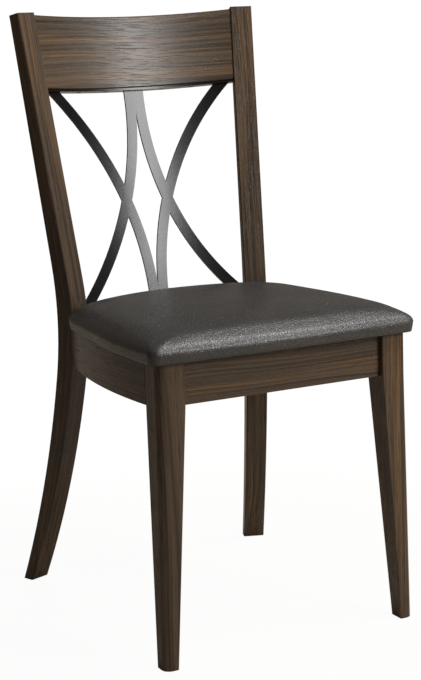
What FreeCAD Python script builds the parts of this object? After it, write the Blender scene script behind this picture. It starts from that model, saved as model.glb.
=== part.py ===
import FreeCAD, Part

import math
import os

import Sketcher
from FreeCAD import Placement, Rotation, Vector

# A wooden side chair with a metal back insert and a padded seat.
# +X is the sitter's left, which is the viewer's right from the front; +Y is rearwards; +Z is up.
# The origin is on the floor, under the middle of the chair's outer box.
# Every length is in millimetres and every angle in degrees.

DIMENSIONS = [
    # back posts: each is one plank, cut to a curved side profile and turned to face inwards
    ("overall_height", 965.0),
    ("back_line_y", 162.65),
    ("back_half_gap", 159.8),
    ("post_turn", 21.3),
    ("post_width", 36.7),
    ("post_lean", 10.9),
    ("post_rear_lean", 9.7),
    ("post_top_depth", 22.6),
    ("post_foot_depth", 21.4),
    ("bend_set_forward", 25.5),
    ("bend_rise", 71.5),
    ("bend_radius", 404.0),
    ("bend_drop", 84.5),
    ("leg_sweep_radius", 1643.0),
    ("rear_bend_rise", 98.5),
    ("rear_bend_radius", 547.0),
    ("rear_bend_drop", 89.5),
    ("post_edge_ease", 1.4),
    # crest rail: a tall rail curved round the sitter's back
    ("crest_below_top", 122.6),
    ("crest_height", 120.9),
    ("crest_thickness", 25.0),
    ("crest_radius", 490.0),
    ("crest_set_back", 2.5),
    ("crest_top_ease", 2.4),
    ("crest_bottom_ease", 1.4),
    # metal insert: a curved plate cut into four crossing arcs between two flat bars
    ("insert_set_back", 12.5),
    ("plate_thickness", 4.0),
    ("arc_width", 17.8),
    ("arc_radius", 503.0),
    ("arc_pair_offset", 8.6),
    ("arc_foot_rise", 16.0),
    ("flat_bar_width", 18.0),
    ("flat_bar_thickness", 4.0),
    ("insert_end_gap", 1.0),
    # seat frame
    ("frame_top", 461.5),
    ("apron_height", 65.6),
    ("frame_depth", 423.7),
    ("front_apron_set_back", 9.0),
    ("front_apron_thickness", 22.0),
    ("side_apron_thickness", 22.0),
    ("side_apron_radius", 1000.0),
    ("side_apron_rear_half_width", 189.0),
    ("side_apron_rear_y", 58.0),
    ("rear_apron_thickness", 22.0),
    ("rear_apron_radius", 476.0),
    ("rear_apron_set_back", 1.5),
    # front legs: square to the apron's bottom, then tapered on the inner and rear faces
    ("leg_half_spread", 212.9),
    ("leg_width", 43.6),
    ("leg_depth", 43.6),
    ("leg_foot_width", 22.8),
    ("leg_foot_depth", 27.1),
    ("leg_foot_splay", 6.6),
    ("leg_outer_round", 12.2),
    ("leg_foot_outer_round", 13.0),
    ("leg_edge_ease", 1.3),
    # joinery
    ("dowel_radius", 4.0),
    ("dowel_length", 38.0),
    ("bore_clearance", 0.1),
    ("bore_end_room", 1.0),
    ("block_height", 36.0),
    ("block_below_top", 4.0),
    ("block_reach", 62.0),
    ("block_depth", 26.0),
    ("screw_radius", 2.0),
    ("screw_head_radius", 4.0),
    ("screw_head_height", 2.6),
    ("screw_clearance", 0.25),
    ("block_screw_bite", 13.0),
    ("block_screw_hold", 13.0),
    ("seat_screw_bite", 9.0),
    ("insert_screw_bite", 16.0),
    # seat pad: plywood board, foam and a leather cover turned under the board
    ("seat_front_overhang", 16.0),
    ("seat_half_width", 226.5),
    ("seat_rear_half_width", 199.0),
    ("seat_rear_gap", 4.0),
    ("seat_straight_front", 100.0),
    ("seat_side_radius", 480.0),
    ("seat_front_bow", 6.0),
    ("seat_front_radius", 2600.0),
    ("seat_front_corner", 14.0),
    ("seat_rear_corner", 13.8),
    ("seat_rear_radius", 470.0),
    ("seat_thickness", 48.2),
    ("seat_band_height", 14.0),
    ("seat_bottom_inset", 6.0),
    ("seat_bottom_gap", 0.3),
    ("soft_gap", 0.5),
    ("board_thickness", 12.0),
    ("cover_thickness", 1.5),
    ("cover_turn_under", 15.0),
    ("dust_cover_thickness", 0.8),
    ("dust_cover_gap", 3.0),
]

doc = FreeCAD.newDocument("side_chair")
sheet = doc.addObject("Spreadsheet::Sheet", "dimensions")
for row, (alias, value) in enumerate(DIMENSIONS, start=1):
    sheet.set("A%d" % row, alias)
    sheet.set("B%d" % row, str(value))
    sheet.setAlias("B%d" % row, alias)
doc.recompute()

X_AXIS = Vector(1, 0, 0)
Y_AXIS = Vector(0, 1, 0)
Z_AXIS = Vector(0, 0, 1)
ORIGIN = (-1, 1)
START = 1
END = 2
TALL = 1200.0


def size(alias):
    """A driving dimension's number, from the sheet."""
    return float(sheet.get(alias))


def ref(text):
    """The same expression with each driving dimension's alias written as the sheet's cell."""
    words = sorted((alias for alias, _ in DIMENSIONS), key=len, reverse=True)
    for word in words:
        text = text.replace("{%s}" % word, "dimensions.%s" % word)
    return text


def bind(thing, **sizes):
    """Ties properties of a feature to expressions on the sheet."""
    for name, text in sizes.items():
        thing.setExpression(name, ref(text))


# Bodies and sketches


def new_body(name, placement=Placement()):
    body = doc.addObject("PartDesign::Body", name)
    body.Placement = placement
    return body


def new_sketch(body, plane, name, height=0.0):
    sketch = body.newObject("Sketcher::SketchObject", name)
    origin_plane = [f for f in body.Origin.OriginFeatures if f.Role == plane][0]
    sketch.AttachmentSupport = [(origin_plane, "")]
    sketch.MapMode = "FlatFace"
    sketch.AttachmentOffset = Placement(Vector(0, 0, height), Rotation())
    return sketch


def hold(sketch, kind, *place, text, value):
    """A dimension of a sketch, tied to the sheet."""
    index = sketch.addConstraint(Sketcher.Constraint(kind, *place, value))
    sketch.setExpression("Constraints[%d]" % index, ref(text))


def tie(sketch, kind, *place):
    """A constraint that has no size."""
    sketch.addConstraint(Sketcher.Constraint(kind, *place))


def pad(body, sketch, name, text, backwards=False):
    feature = body.newObject("PartDesign::Pad", name)
    feature.Profile = sketch
    feature.Reversed = backwards
    bind(feature, Length=text)
    return feature


def line(start, end):
    return Part.LineSegment(Vector(*start, 0), Vector(*end, 0))


def arc(centre, radius, first, last):
    circle = Part.Circle(Vector(*centre, 0), Z_AXIS, radius)
    return Part.ArcOfCircle(circle, first, last)


# Solids


def bare_prism(name, sides, radius_text, length_text, base, direction):
    """A many-sided pin from a base point along a direction."""
    prism = doc.addObject("Part::Prism", name)
    prism.Polygon = sides
    bind(prism, Circumradius=radius_text, Height=length_text)
    prism.Placement = Placement(base, Rotation(Z_AXIS, direction))
    return prism


def joined(name, pieces):
    """One object that holds several separate solids."""
    group = doc.addObject("Part::Compound", name)
    group.Links = pieces
    return group


def cut(name, base, tool):
    result = doc.addObject("Part::Cut", name)
    result.Base = base
    result.Tool = tool
    return result


def common(name, first, second):
    result = doc.addObject("Part::Common", name)
    result.Base = first
    result.Tool = second
    return result


def fused(name, pieces):
    result = doc.addObject("Part::MultiFuse", name)
    result.Shapes = pieces
    return result


def mirrored(name, source):
    """The same piece on the other side of the chair."""
    copy = doc.addObject("Part::Mirroring", name)
    copy.Source = source
    copy.Normal = X_AXIS
    return copy


def from_shape(name, shape):
    feature = doc.addObject("Part::Feature", name)
    feature.Shape = shape
    return feature


PARTS = []


def part(thing, label):
    """Names a finished sub-part; its label is its file's name."""
    thing.Label = label
    PARTS.append(thing)
    return thing


# The post's side profile. Lengths along the depth are measured from the back line, rearwards.

frame_top = size("frame_top")
overall_height = size("overall_height")
turn = math.radians(size("post_turn"))
lean = math.radians(size("post_lean"))
back_line_y = size("back_line_y")
half_gap = size("back_half_gap")


def bend_chain(depth, height, lean_angle, radius, lower_height):
    """The bend under a leaning line: its centre, and its lower end's depth and angle."""
    centre = (depth + radius * math.cos(lean_angle), height - radius * math.sin(lean_angle))
    lower_angle = math.asin((lower_height - centre[1]) / radius)
    lower_depth = centre[0] - radius * math.cos(lower_angle)
    return centre, lower_depth, lower_angle


def sweep_centre(depth, height, angle, radius):
    return (depth + radius * math.cos(angle), height - radius * math.sin(angle))


front_height = frame_top + size("bend_rise")
front_depth = -size("bend_set_forward")
front_low = frame_top - size("bend_drop")
front_centre, front_low_depth, front_low_angle = bend_chain(
    front_depth, front_height, lean, size("bend_radius"), front_low
)
sweep_radius = size("leg_sweep_radius")
front_sweep = sweep_centre(front_low_depth, front_low, front_low_angle, sweep_radius)
front_foot = front_sweep[0] - math.sqrt(sweep_radius**2 - front_sweep[1] ** 2)
front_top = front_depth + (overall_height - front_height) * math.tan(lean)

rear_lean = math.radians(size("post_rear_lean"))
rear_top_depth = front_top + size("post_top_depth") * math.cos(lean)
rear_top_height = overall_height - size("post_top_depth") * math.sin(lean)
rear_height = frame_top + size("rear_bend_rise")
rear_depth = rear_top_depth - (rear_top_height - rear_height) * math.tan(rear_lean)
rear_low = frame_top - size("rear_bend_drop")
rear_centre, rear_low_depth, rear_low_angle = bend_chain(
    rear_depth, rear_height, rear_lean, size("rear_bend_radius"), rear_low
)
rear_foot = front_foot + size("post_foot_depth")
foot_chord_angle = math.atan((rear_foot - rear_low_depth) / rear_low)
foot_chord = math.hypot(rear_foot - rear_low_depth, rear_low)
rear_sweep_radius = foot_chord / (2 * math.sin(foot_chord_angle + rear_low_angle))
rear_sweep = sweep_centre(rear_low_depth, rear_low, rear_low_angle, rear_sweep_radius)


def post_front(height):
    """How far the post's front face lies behind the back line, at a height above the lower bend."""
    if height >= front_height:
        return front_depth + (height - front_height) * math.tan(lean)
    reach = height - front_centre[1]
    return front_centre[0] - math.sqrt(size("bend_radius") ** 2 - reach**2)


def on_post(across, depth, height):
    """A point of the right-hand post, from its own width, depth and height."""
    return Vector(
        half_gap + across * math.cos(turn) + depth * math.sin(turn),
        back_line_y - across * math.sin(turn) + depth * math.cos(turn),
        height,
    )


def post_angle(angle):
    """A slope of the profile as an angle round its arc's centre."""
    return math.pi - angle


def make_post():
    """One plank: a leaning back, a bend at the seat and a leg that sweeps rearwards."""
    place = Placement(Vector(half_gap, back_line_y, 0), Rotation(Z_AXIS, -size("post_turn")))
    body = new_body("post_plank", place)
    body.setExpression("Placement.Base.x", ref("{back_half_gap}"))
    body.setExpression("Placement.Base.y", ref("{back_line_y}"))
    body.setExpression("Placement.Rotation.Angle", ref("-{post_turn} * 1 deg"))
    sketch = new_sketch(body, "YZ_Plane", "post_profile")
    low_front = (front_low_depth, front_low)
    foot_angle = math.asin(-front_sweep[1] / sweep_radius)
    rear_foot_angle = math.asin(-rear_sweep[1] / rear_sweep_radius)
    sketch.addGeometry(
        [
            line((front_depth, front_height), (front_top, overall_height)),
            arc(front_centre, size("bend_radius"), post_angle(lean), post_angle(front_low_angle)),
            arc(front_sweep, sweep_radius, post_angle(front_low_angle), post_angle(foot_angle)),
            line((front_foot, 0), (rear_foot, 0)),
            arc(rear_sweep, rear_sweep_radius, post_angle(rear_low_angle), post_angle(rear_foot_angle)),
            arc(rear_centre, size("rear_bend_radius"), post_angle(rear_lean), post_angle(rear_low_angle)),
            line((rear_depth, rear_height), (rear_top_depth, rear_top_height)),
            line((front_top, overall_height), (rear_top_depth, rear_top_height)),
        ],
        False,
    )
    back_line, front_bend, front_leg, foot, rear_leg, rear_bend, rear_line, top = range(8)
    tie(sketch, "Tangent", back_line, START, front_bend, START)
    tie(sketch, "Tangent", front_bend, END, front_leg, START)
    tie(sketch, "Tangent", rear_line, START, rear_bend, START)
    tie(sketch, "Tangent", rear_bend, END, rear_leg, START)
    tie(sketch, "Coincident", foot, START, front_leg, END)
    tie(sketch, "Coincident", foot, END, rear_leg, END)
    tie(sketch, "Coincident", top, START, back_line, END)
    tie(sketch, "Coincident", top, END, rear_line, END)
    tie(sketch, "Horizontal", foot)
    tie(sketch, "Perpendicular", top, back_line)
    tie(sketch, "PointOnObject", foot, START, -1)
    rise = overall_height - front_height
    rear_rise = rear_top_height - rear_height
    hold(sketch, "DistanceY", *ORIGIN, back_line, END, text="{overall_height}", value=overall_height)
    hold(
        sketch, "DistanceX", back_line, START, back_line, END,
        text="({overall_height} - {frame_top} - {bend_rise}) * tan({post_lean} * 1 deg)",
        value=rise * math.tan(lean),
    )
    hold(
        sketch, "DistanceY", *ORIGIN, back_line, START,
        text="{frame_top} + {bend_rise}", value=front_height,
    )
    hold(
        sketch, "DistanceX", back_line, START, *ORIGIN,
        text="{bend_set_forward}", value=-front_depth,
    )
    hold(sketch, "Radius", front_bend, text="{bend_radius}", value=size("bend_radius"))
    hold(sketch, "Radius", front_leg, text="{leg_sweep_radius}", value=sweep_radius)
    hold(
        sketch, "DistanceY", *ORIGIN, front_bend, END,
        text="{frame_top} - {bend_drop}", value=front_low,
    )
    hold(sketch, "Distance", top, text="{post_top_depth}", value=size("post_top_depth"))
    hold(
        sketch, "DistanceX", rear_line, START, rear_line, END,
        text="({overall_height} - {post_top_depth} * sin({post_lean} * 1 deg) - {frame_top}"
        " - {rear_bend_rise}) * tan({post_rear_lean} * 1 deg)",
        value=rear_rise * math.tan(rear_lean),
    )
    hold(
        sketch, "DistanceY", *ORIGIN, rear_line, START,
        text="{frame_top} + {rear_bend_rise}", value=rear_height,
    )
    hold(sketch, "Radius", rear_bend, text="{rear_bend_radius}", value=size("rear_bend_radius"))
    hold(
        sketch, "DistanceY", *ORIGIN, rear_bend, END,
        text="{frame_top} - {rear_bend_drop}", value=rear_low,
    )
    hold(sketch, "Distance", foot, text="{post_foot_depth}", value=size("post_foot_depth"))
    plank = pad(body, sketch, "post_pad", "{post_width}")
    doc.recompute()
    eased = body.newObject("PartDesign::Chamfer", "post_edges")
    long_edges = [
        "Edge%d" % number
        for number, edge in enumerate(plank.Shape.Edges, start=1)
        if in_one_side(edge) and edge.BoundBox.ZMin < overall_height - 2 * size("post_top_depth")
        and edge.BoundBox.ZMax > 1
    ]
    eased.Base = (plank, long_edges)
    bind(eased, Size="{post_edge_ease}")
    body.Tip = eased
    doc.recompute()
    return body


def in_one_side(edge):
    """True for an edge that lies in the plank's inner or outer side."""
    return edge.BoundBox.XLength < 1e-6


post = make_post()

# The room between the two posts, which the rails between them are trimmed to.


def make_gap(name, clearance_text, clearance):
    body = new_body(name)
    sketch = new_sketch(body, "XY_Plane", name + "_plan")
    near = back_line_y - TALL / 4
    far = back_line_y + TALL / 4
    near_half = half_gap + (near - back_line_y) * math.tan(turn) - clearance
    far_half = half_gap + (far - back_line_y) * math.tan(turn) - clearance
    corners = [(-near_half, near), (near_half, near), (far_half, far), (-far_half, far)]
    sketch.addGeometry([line(corners[i], corners[(i + 1) % 4]) for i in range(4)], False)
    for i in range(4):
        tie(sketch, "Coincident", i, END, (i + 1) % 4, START)
    tie(sketch, "Symmetric", 0, START, 0, END, -2)
    tie(sketch, "Symmetric", 2, START, 2, END, -2)
    reach = "(%s)" % (TALL / 4)
    slope = " * tan({post_turn} * 1 deg)"
    half = "{back_half_gap} - %s" % clearance_text
    hold(sketch, "DistanceY", *ORIGIN, 0, START, text="{back_line_y} - " + reach, value=near)
    hold(sketch, "DistanceY", *ORIGIN, 2, START, text="{back_line_y} + " + reach, value=far)
    hold(
        sketch, "DistanceX", 0, START, 0, END,
        text="2 * (%s - %s%s)" % (half, reach, slope), value=2 * near_half,
    )
    hold(
        sketch, "DistanceX", 2, END, 2, START,
        text="2 * (%s + %s%s)" % (half, reach, slope), value=2 * far_half,
    )
    pad(body, sketch, name + "_pad", "{overall_height} * 1.2")
    doc.recompute()
    return body


between_posts = make_gap("between_posts", "0", 0.0)

# The crest rail's own frame leans with the posts: its Z runs up the rail and its Y goes through it.

crest_lean = math.atan(math.tan(lean) / math.cos(turn))
crest_up = Vector(0, math.sin(crest_lean), math.cos(crest_lean))
crest_end_height = overall_height - size("crest_below_top")
crest_end_depth = post_front(crest_end_height) + size("crest_set_back")
crest_end = on_post(0, crest_end_depth, crest_end_height)
crest_chord = math.sqrt(size("crest_radius") ** 2 - crest_end.x**2)
crest_place = Placement(Vector(0, crest_end.y, crest_end_height), Rotation(X_AXIS, -math.degrees(crest_lean)))
SPREAD = math.radians(28)


def ring_sector(body, name, plane, centre_text, centre, inner_text, inner, outer_text, outer, height=0.0):
    """A sketch of a slice of a flat ring, open towards the front, centred on the chair's middle plane."""
    sketch = new_sketch(body, plane, name, height)
    first = math.pi / 2 - SPREAD
    last = math.pi / 2 + SPREAD
    ends = [
        (radius * math.sin(side * SPREAD), centre + radius * math.cos(SPREAD))
        for radius in (inner, outer)
        for side in (1, -1)
    ]
    sketch.addGeometry(
        [
            arc((0, centre), inner, first, last),
            arc((0, centre), outer, first, last),
            line(ends[0], ends[2]),
            line(ends[1], ends[3]),
        ],
        False,
    )
    tie(sketch, "Coincident", 0, 3, 1, 3)
    tie(sketch, "PointOnObject", 0, 3, -2)
    tie(sketch, "Coincident", 2, START, 0, START)
    tie(sketch, "Coincident", 2, END, 1, START)
    tie(sketch, "Coincident", 3, START, 0, END)
    tie(sketch, "Coincident", 3, END, 1, END)
    tie(sketch, "Symmetric", 0, START, 0, END, -2)
    tie(sketch, "Symmetric", 1, START, 1, END, -2)
    hold(sketch, "DistanceY", 0, 3, *ORIGIN, text=centre_text, value=-centre)
    hold(sketch, "Radius", 0, text=inner_text, value=inner)
    hold(sketch, "Radius", 1, text=outer_text, value=outer)
    spread_text = "2 * (%s) * sin(%s deg)"
    angle = math.degrees(SPREAD)
    hold(
        sketch, "DistanceX", 0, END, 0, START,
        text=spread_text % (inner_text, angle), value=2 * inner * math.sin(SPREAD),
    )
    hold(
        sketch, "DistanceX", 1, END, 1, START,
        text=spread_text % (outer_text, angle), value=2 * outer * math.sin(SPREAD),
    )
    return sketch


def number(value):
    """A worked-out length, written for an expression."""
    return "%.9f" % value


def make_crest():
    """A curved board, trimmed to the posts' inner sides, with its top and bottom edges eased."""
    body = new_body("crest_board", crest_place)
    sketch = ring_sector(
        body, "crest_plan", "XY_Plane", number(crest_chord), -crest_chord,
        "{crest_radius}", size("crest_radius"),
        "{crest_radius} + {crest_thickness}", size("crest_radius") + size("crest_thickness"),
    )
    board = pad(body, sketch, "crest_pad", "{crest_height}")
    doc.recompute()
    last = board
    for name, level, ease in (
        ("crest_top_edges", size("crest_height"), "{crest_top_ease}"),
        ("crest_bottom_edges", 0.0, "{crest_bottom_ease}"),
    ):
        edges = [
            "Edge%d" % index
            for index, edge in enumerate(last.Shape.Edges, start=1)
            if abs(edge.BoundBox.ZMin - level) < 1e-6
            and abs(edge.BoundBox.ZMax - level) < 1e-6
            and edge.Length > 4 * size("crest_thickness")
        ]
        eased = body.newObject("PartDesign::Chamfer", name)
        eased.Base = (last, edges)
        bind(eased, Size=ease)
        body.Tip = eased
        doc.recompute()
        last = eased
    return common("crest_trimmed", body, between_posts)


crest_blank = make_crest()


def in_crest(across, through, up):
    """A point from the crest rail's own frame."""
    return crest_place.multVec(Vector(across, through, up))


# The insert's plate is bent to a ring about the crest rail's centre, and its cut-outs are
# arcs drawn on its face. The pattern is the same turned upside down about its middle.

insert_radius = size("crest_radius") + size("insert_set_back")
insert_top = -size("flat_bar_thickness")
foot_bar_top = frame_top + size("flat_bar_thickness")


def insert_through(across):
    """Depth of the plate's middle in the crest's frame, at a distance from the chair's middle."""
    return math.sqrt(insert_radius**2 - across**2) - crest_chord


insert_foot = (foot_bar_top - crest_place.Base.z + insert_through(0) * math.sin(crest_lean)) / math.cos(
    crest_lean
)
pattern_middle = (insert_top + insert_foot) / 2
pattern_half = (insert_top - insert_foot) / 2
PLATE_SPARE = 12.0


def arc_bar(side, end):
    """One arc of the pattern as a flat ring slice: it starts upright beside the middle and leans outwards."""
    upright_level = pattern_middle - end * (pattern_half - size("arc_foot_rise"))
    centre = Vector(side * (size("arc_pair_offset") + size("arc_radius")), 0, upright_level)
    outer = size("arc_radius") + size("arc_width") / 2
    inner = size("arc_radius") - size("arc_width") / 2
    disc = Part.makeCylinder(outer, TALL / 4, centre, Y_AXIS)
    hole = Part.makeCylinder(inner, TALL / 4, centre, Y_AXIS)
    return disc.cut(hole)


def make_lattice():
    """The curved plate, kept only where the four arcs run."""
    half = size("plate_thickness") / 2
    low = insert_foot - PLATE_SPARE
    tall = insert_top - low
    base = Vector(0, -crest_chord, low)
    plate = Part.makeCylinder(insert_radius + half, tall, base, Z_AXIS).cut(
        Part.makeCylinder(insert_radius - half, tall, base, Z_AXIS)
    )
    front_half = Part.makeBox(TALL, TALL / 4, TALL, Vector(-TALL / 2, 0, -TALL * 0.75))
    plate = plate.common(front_half)
    arcs = []
    for side in (-1, 1):
        reach = Part.makeBox(TALL / 2, TALL / 2, TALL, Vector(min(0, side * TALL / 2), 0, -TALL * 0.75))
        for end in (-1, 1):
            arcs.append(arc_bar(side, end).common(reach))
    pattern = arcs[0].multiFuse(arcs[1:])
    lattice = plate.common(pattern)
    lattice.Placement = crest_place
    above_foot_bar = Part.makeBox(TALL, TALL, TALL, Vector(-TALL / 2, -TALL / 2, foot_bar_top))
    lattice = lattice.common(above_foot_bar)
    return lattice.removeSplitter()


insert_gap = make_gap("between_posts_insert", "{insert_end_gap}", size("insert_end_gap"))
lattice = common("insert_trimmed", from_shape("insert_plate", make_lattice()), insert_gap)
part(lattice, "insert_lattice")

# Two flat bars close the insert: one against the crest rail, one on the rear apron.


def flat_bar(name, place, centre_text, centre, middle_radius_text, middle_radius):
    half_width = size("flat_bar_width") / 2
    body = new_body(name + "_strip", place)
    sketch = ring_sector(
        body, name + "_plan", "XY_Plane", centre_text, centre,
        "%s - {flat_bar_width} / 2" % middle_radius_text, middle_radius - half_width,
        "%s + {flat_bar_width} / 2" % middle_radius_text, middle_radius + half_width,
    )
    pad(body, sketch, name + "_pad", "{flat_bar_thickness}")
    return common(name + "_trimmed", body, insert_gap)


top_bar_place = Placement(in_crest(0, 0, insert_top), crest_place.Rotation)
top_bar = flat_bar(
    "insert_top_bar", top_bar_place, number(crest_chord), -crest_chord,
    "({crest_radius} + {insert_set_back})", insert_radius,
)

# At seat height the leaning ring is cut level, so its plan is a ring that is a little tighter.
foot_radius = insert_radius * math.cos(crest_lean)
foot_middle_y = in_crest(0, insert_through(0), insert_foot).y
foot_bar_place = Placement(Vector(0, foot_middle_y, frame_top), Rotation())
foot_bar = flat_bar(
    "insert_bottom_bar", foot_bar_place, number(foot_radius), -foot_radius,
    number(foot_radius), foot_radius,
)

# Seat frame. The aprons' tops are level with the tops of the front legs.

apron_bottom = frame_top - size("apron_height")
leg_front_y = back_line_y - size("frame_depth")
leg_rear_y = leg_front_y + size("leg_depth")
leg_outer_x = size("leg_half_spread")
leg_inner_x = leg_outer_x - size("leg_width")
rear_apron_front = post_front(frame_top) + size("rear_apron_set_back")
rear_apron_end = on_post(0, rear_apron_front, 0)
rear_apron_chord = math.sqrt(size("rear_apron_radius") ** 2 - rear_apron_end.x**2)


def make_front_apron():
    box = doc.addObject("Part::Box", "front_apron_board")
    bind(
        box,
        Length="2 * ({leg_half_spread} - {leg_width})",
        Width="{front_apron_thickness}",
        Height="{apron_height}",
    )
    box.Placement.Base = Vector(-leg_inner_x, leg_front_y + size("front_apron_set_back"), apron_bottom)
    return box


front_apron_blank = make_front_apron()


def make_rear_apron():
    """A level rail, curved like the crest rail above it, trimmed to the posts' inner sides."""
    place = Placement(Vector(0, rear_apron_end.y, apron_bottom), Rotation())
    body = new_body("rear_apron_board", place)
    sketch = ring_sector(
        body, "rear_apron_plan", "XY_Plane", number(rear_apron_chord), -rear_apron_chord,
        "{rear_apron_radius}", size("rear_apron_radius"),
        "{rear_apron_radius} + {rear_apron_thickness}",
        size("rear_apron_radius") + size("rear_apron_thickness"),
    )
    pad(body, sketch, "rear_apron_pad", "{apron_height}")
    return common("rear_apron_trimmed", body, between_posts)


rear_apron_blank = make_rear_apron()

side_front = Vector(leg_outer_x, leg_rear_y, 0)
side_rear = Vector(size("side_apron_rear_half_width"), back_line_y - size("side_apron_rear_y"), 0)


def side_apron_centre():
    """Centre of the side apron's outer face, in plan."""
    middle = (side_front + side_rear) * 0.5
    chord = side_rear - side_front
    inwards = Vector(-chord.y, chord.x, 0).normalize()
    if inwards.x > 0:
        inwards = inwards * -1
    drop = math.sqrt(size("side_apron_radius") ** 2 - (chord.Length / 2) ** 2)
    return middle + inwards * drop


side_centre = side_apron_centre()


def make_side_apron():
    """A bowed rail from the front leg's rear face to the post's front face, shaped to the post."""
    radius = size("side_apron_radius")
    inner = radius - size("side_apron_thickness")
    base = Vector(side_centre.x, side_centre.y, apron_bottom)
    ring = Part.makeCylinder(radius, size("apron_height"), base).cut(
        Part.makeCylinder(inner, size("apron_height"), base)
    )
    rear_limit = back_line_y
    window = Part.makeBox(
        leg_outer_x, rear_limit - leg_rear_y, TALL, Vector(leg_outer_x / 2, leg_rear_y, 0)
    )
    blank = from_shape("side_apron_board", ring.common(window))
    behind = make_behind_post_front()
    return cut("side_apron_shaped", blank, behind)


def make_behind_post_front():
    """The room behind the post's front face, widened sideways, as a tool for the apron's rear end."""
    place = Placement(Vector(half_gap, back_line_y, 0), Rotation(Z_AXIS, -size("post_turn")))
    radius = size("bend_radius")
    centre = Vector(-TALL / 8, front_centre[0], front_centre[1])
    disc = Part.makeCylinder(radius, TALL / 4, centre, X_AXIS)
    disc.Placement = place
    return from_shape("behind_post_front", disc)


side_apron_blank = make_side_apron()


# Front legs


def leg_sketch(body, name, height, left, right, front, rear, ease, outer):
    """A rectangle with its outer front corner rounded and the other three eased.

    Each side, the ease and the outer radius is (expression, value).
    """
    sketch = new_sketch(body, "XY_Plane", name, height)
    (x0, x1, y0, y1) = (left[1], right[1], front[1], rear[1])
    e = ease[1]
    r = outer[1]
    sketch.addGeometry(
        [
            line((x0 + e, y0), (x1 - r, y0)),
            arc((x1 - r, y0 + r), r, -math.pi / 2, 0),
            line((x1, y0 + r), (x1, y1 - e)),
            line((x1, y1 - e), (x1 - e, y1)),
            line((x1 - e, y1), (x0 + e, y1)),
            line((x0 + e, y1), (x0, y1 - e)),
            line((x0, y1 - e), (x0, y0 + e)),
            line((x0, y0 + e), (x0 + e, y0)),
        ],
        False,
    )
    front_side, outer_corner, right_side, rear_right, rear_side, rear_left, left_side, front_left = range(8)
    tie(sketch, "Tangent", front_side, END, outer_corner, START)
    tie(sketch, "Tangent", outer_corner, END, right_side, START)
    for i in range(right_side, front_left + 1):
        tie(sketch, "Coincident", i, END, (i + 1) % 8, START)
    for i, kind in (
        (front_side, "Horizontal"), (right_side, "Vertical"), (rear_side, "Horizontal"),
        (left_side, "Vertical"),
    ):
        tie(sketch, kind, i)
    hold(sketch, "DistanceX", *ORIGIN, left_side, START, text=left[0], value=x0)
    hold(sketch, "DistanceX", *ORIGIN, right_side, START, text=right[0], value=x1)
    hold(sketch, "DistanceY", front_side, START, *ORIGIN, text="-(%s)" % front[0], value=-y0)
    hold(sketch, "DistanceY", rear_side, START, *ORIGIN, text="-(%s)" % rear[0], value=-y1)
    hold(sketch, "Radius", outer_corner, text=outer[0], value=r)
    for corner, across, up in (
        (rear_right, (END, START), (START, END)),
        (rear_left, (END, START), (END, START)),
        (front_left, (START, END), (END, START)),
    ):
        hold(sketch, "DistanceX", corner, across[0], corner, across[1], text=ease[0], value=e)
        hold(sketch, "DistanceY", corner, up[0], corner, up[1], text=ease[0], value=e)
    return sketch


def make_front_leg():
    """Straight where the aprons meet it, then a taper to the foot with a soft outer front corner."""
    body = new_body("front_leg_stock")
    outer = ("{leg_half_spread}", leg_outer_x)
    inner = ("{leg_half_spread} - {leg_width}", leg_inner_x)
    front = ("{back_line_y} - {frame_depth}", leg_front_y)
    rear = ("{back_line_y} - {frame_depth} + {leg_depth}", leg_rear_y)
    foot_outer_x = leg_outer_x + size("leg_foot_splay")
    foot_outer = ("{leg_half_spread} + {leg_foot_splay}", foot_outer_x)
    foot_inner = (
        "{leg_half_spread} + {leg_foot_splay} - {leg_foot_width}",
        foot_outer_x - size("leg_foot_width"),
    )
    foot_rear = (
        "{back_line_y} - {frame_depth} + {leg_foot_depth}",
        leg_front_y + size("leg_foot_depth"),
    )
    eased = ("{leg_edge_ease}", size("leg_edge_ease"))
    soft = ("{leg_outer_round}", size("leg_outer_round"))
    soft_foot = ("{leg_foot_outer_round}", size("leg_foot_outer_round"))
    top = leg_sketch(body, "leg_section", apron_bottom, inner, outer, front, rear, eased, soft)
    top.setExpression("AttachmentOffset.Base.z", ref("{frame_top} - {apron_height}"))
    foot = leg_sketch(
        body, "leg_foot_section", 0.0, foot_inner, foot_outer, front, foot_rear, eased, soft_foot
    )
    pad(body, top, "leg_block", "{apron_height}")
    taper = body.newObject("PartDesign::AdditiveLoft", "leg_taper")
    taper.Profile = top
    taper.Sections = [foot]
    taper.Ruled = True
    body.Tip = taper
    doc.recompute()
    return body


leg_blank = make_front_leg()

# Corner blocks: each spans a corner of the frame behind the leg, glued and screwed to both aprons.

block_bottom = frame_top - size("block_below_top") - size("block_height")
block_middle = block_bottom + size("block_height") / 2
front_inner_y = leg_front_y + size("front_apron_set_back") + size("front_apron_thickness")


def side_inner_x(y):
    """The side apron's inner face at a depth, on the right-hand side."""
    radius = size("side_apron_radius") - size("side_apron_thickness")
    return side_centre.x + math.sqrt(radius**2 - (y - side_centre.y) ** 2)


def rear_inner_y(x):
    """The rear apron's front face at a distance from the middle."""
    return rear_apron_end.y - rear_apron_chord + math.sqrt(size("rear_apron_radius") ** 2 - x**2)


def prism(points, bottom, height):
    corners = [Vector(x, y, bottom) for x, y in points]
    return Part.Face(Part.makePolygon(corners + corners[:1])).extrude(Vector(0, 0, height))


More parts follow.
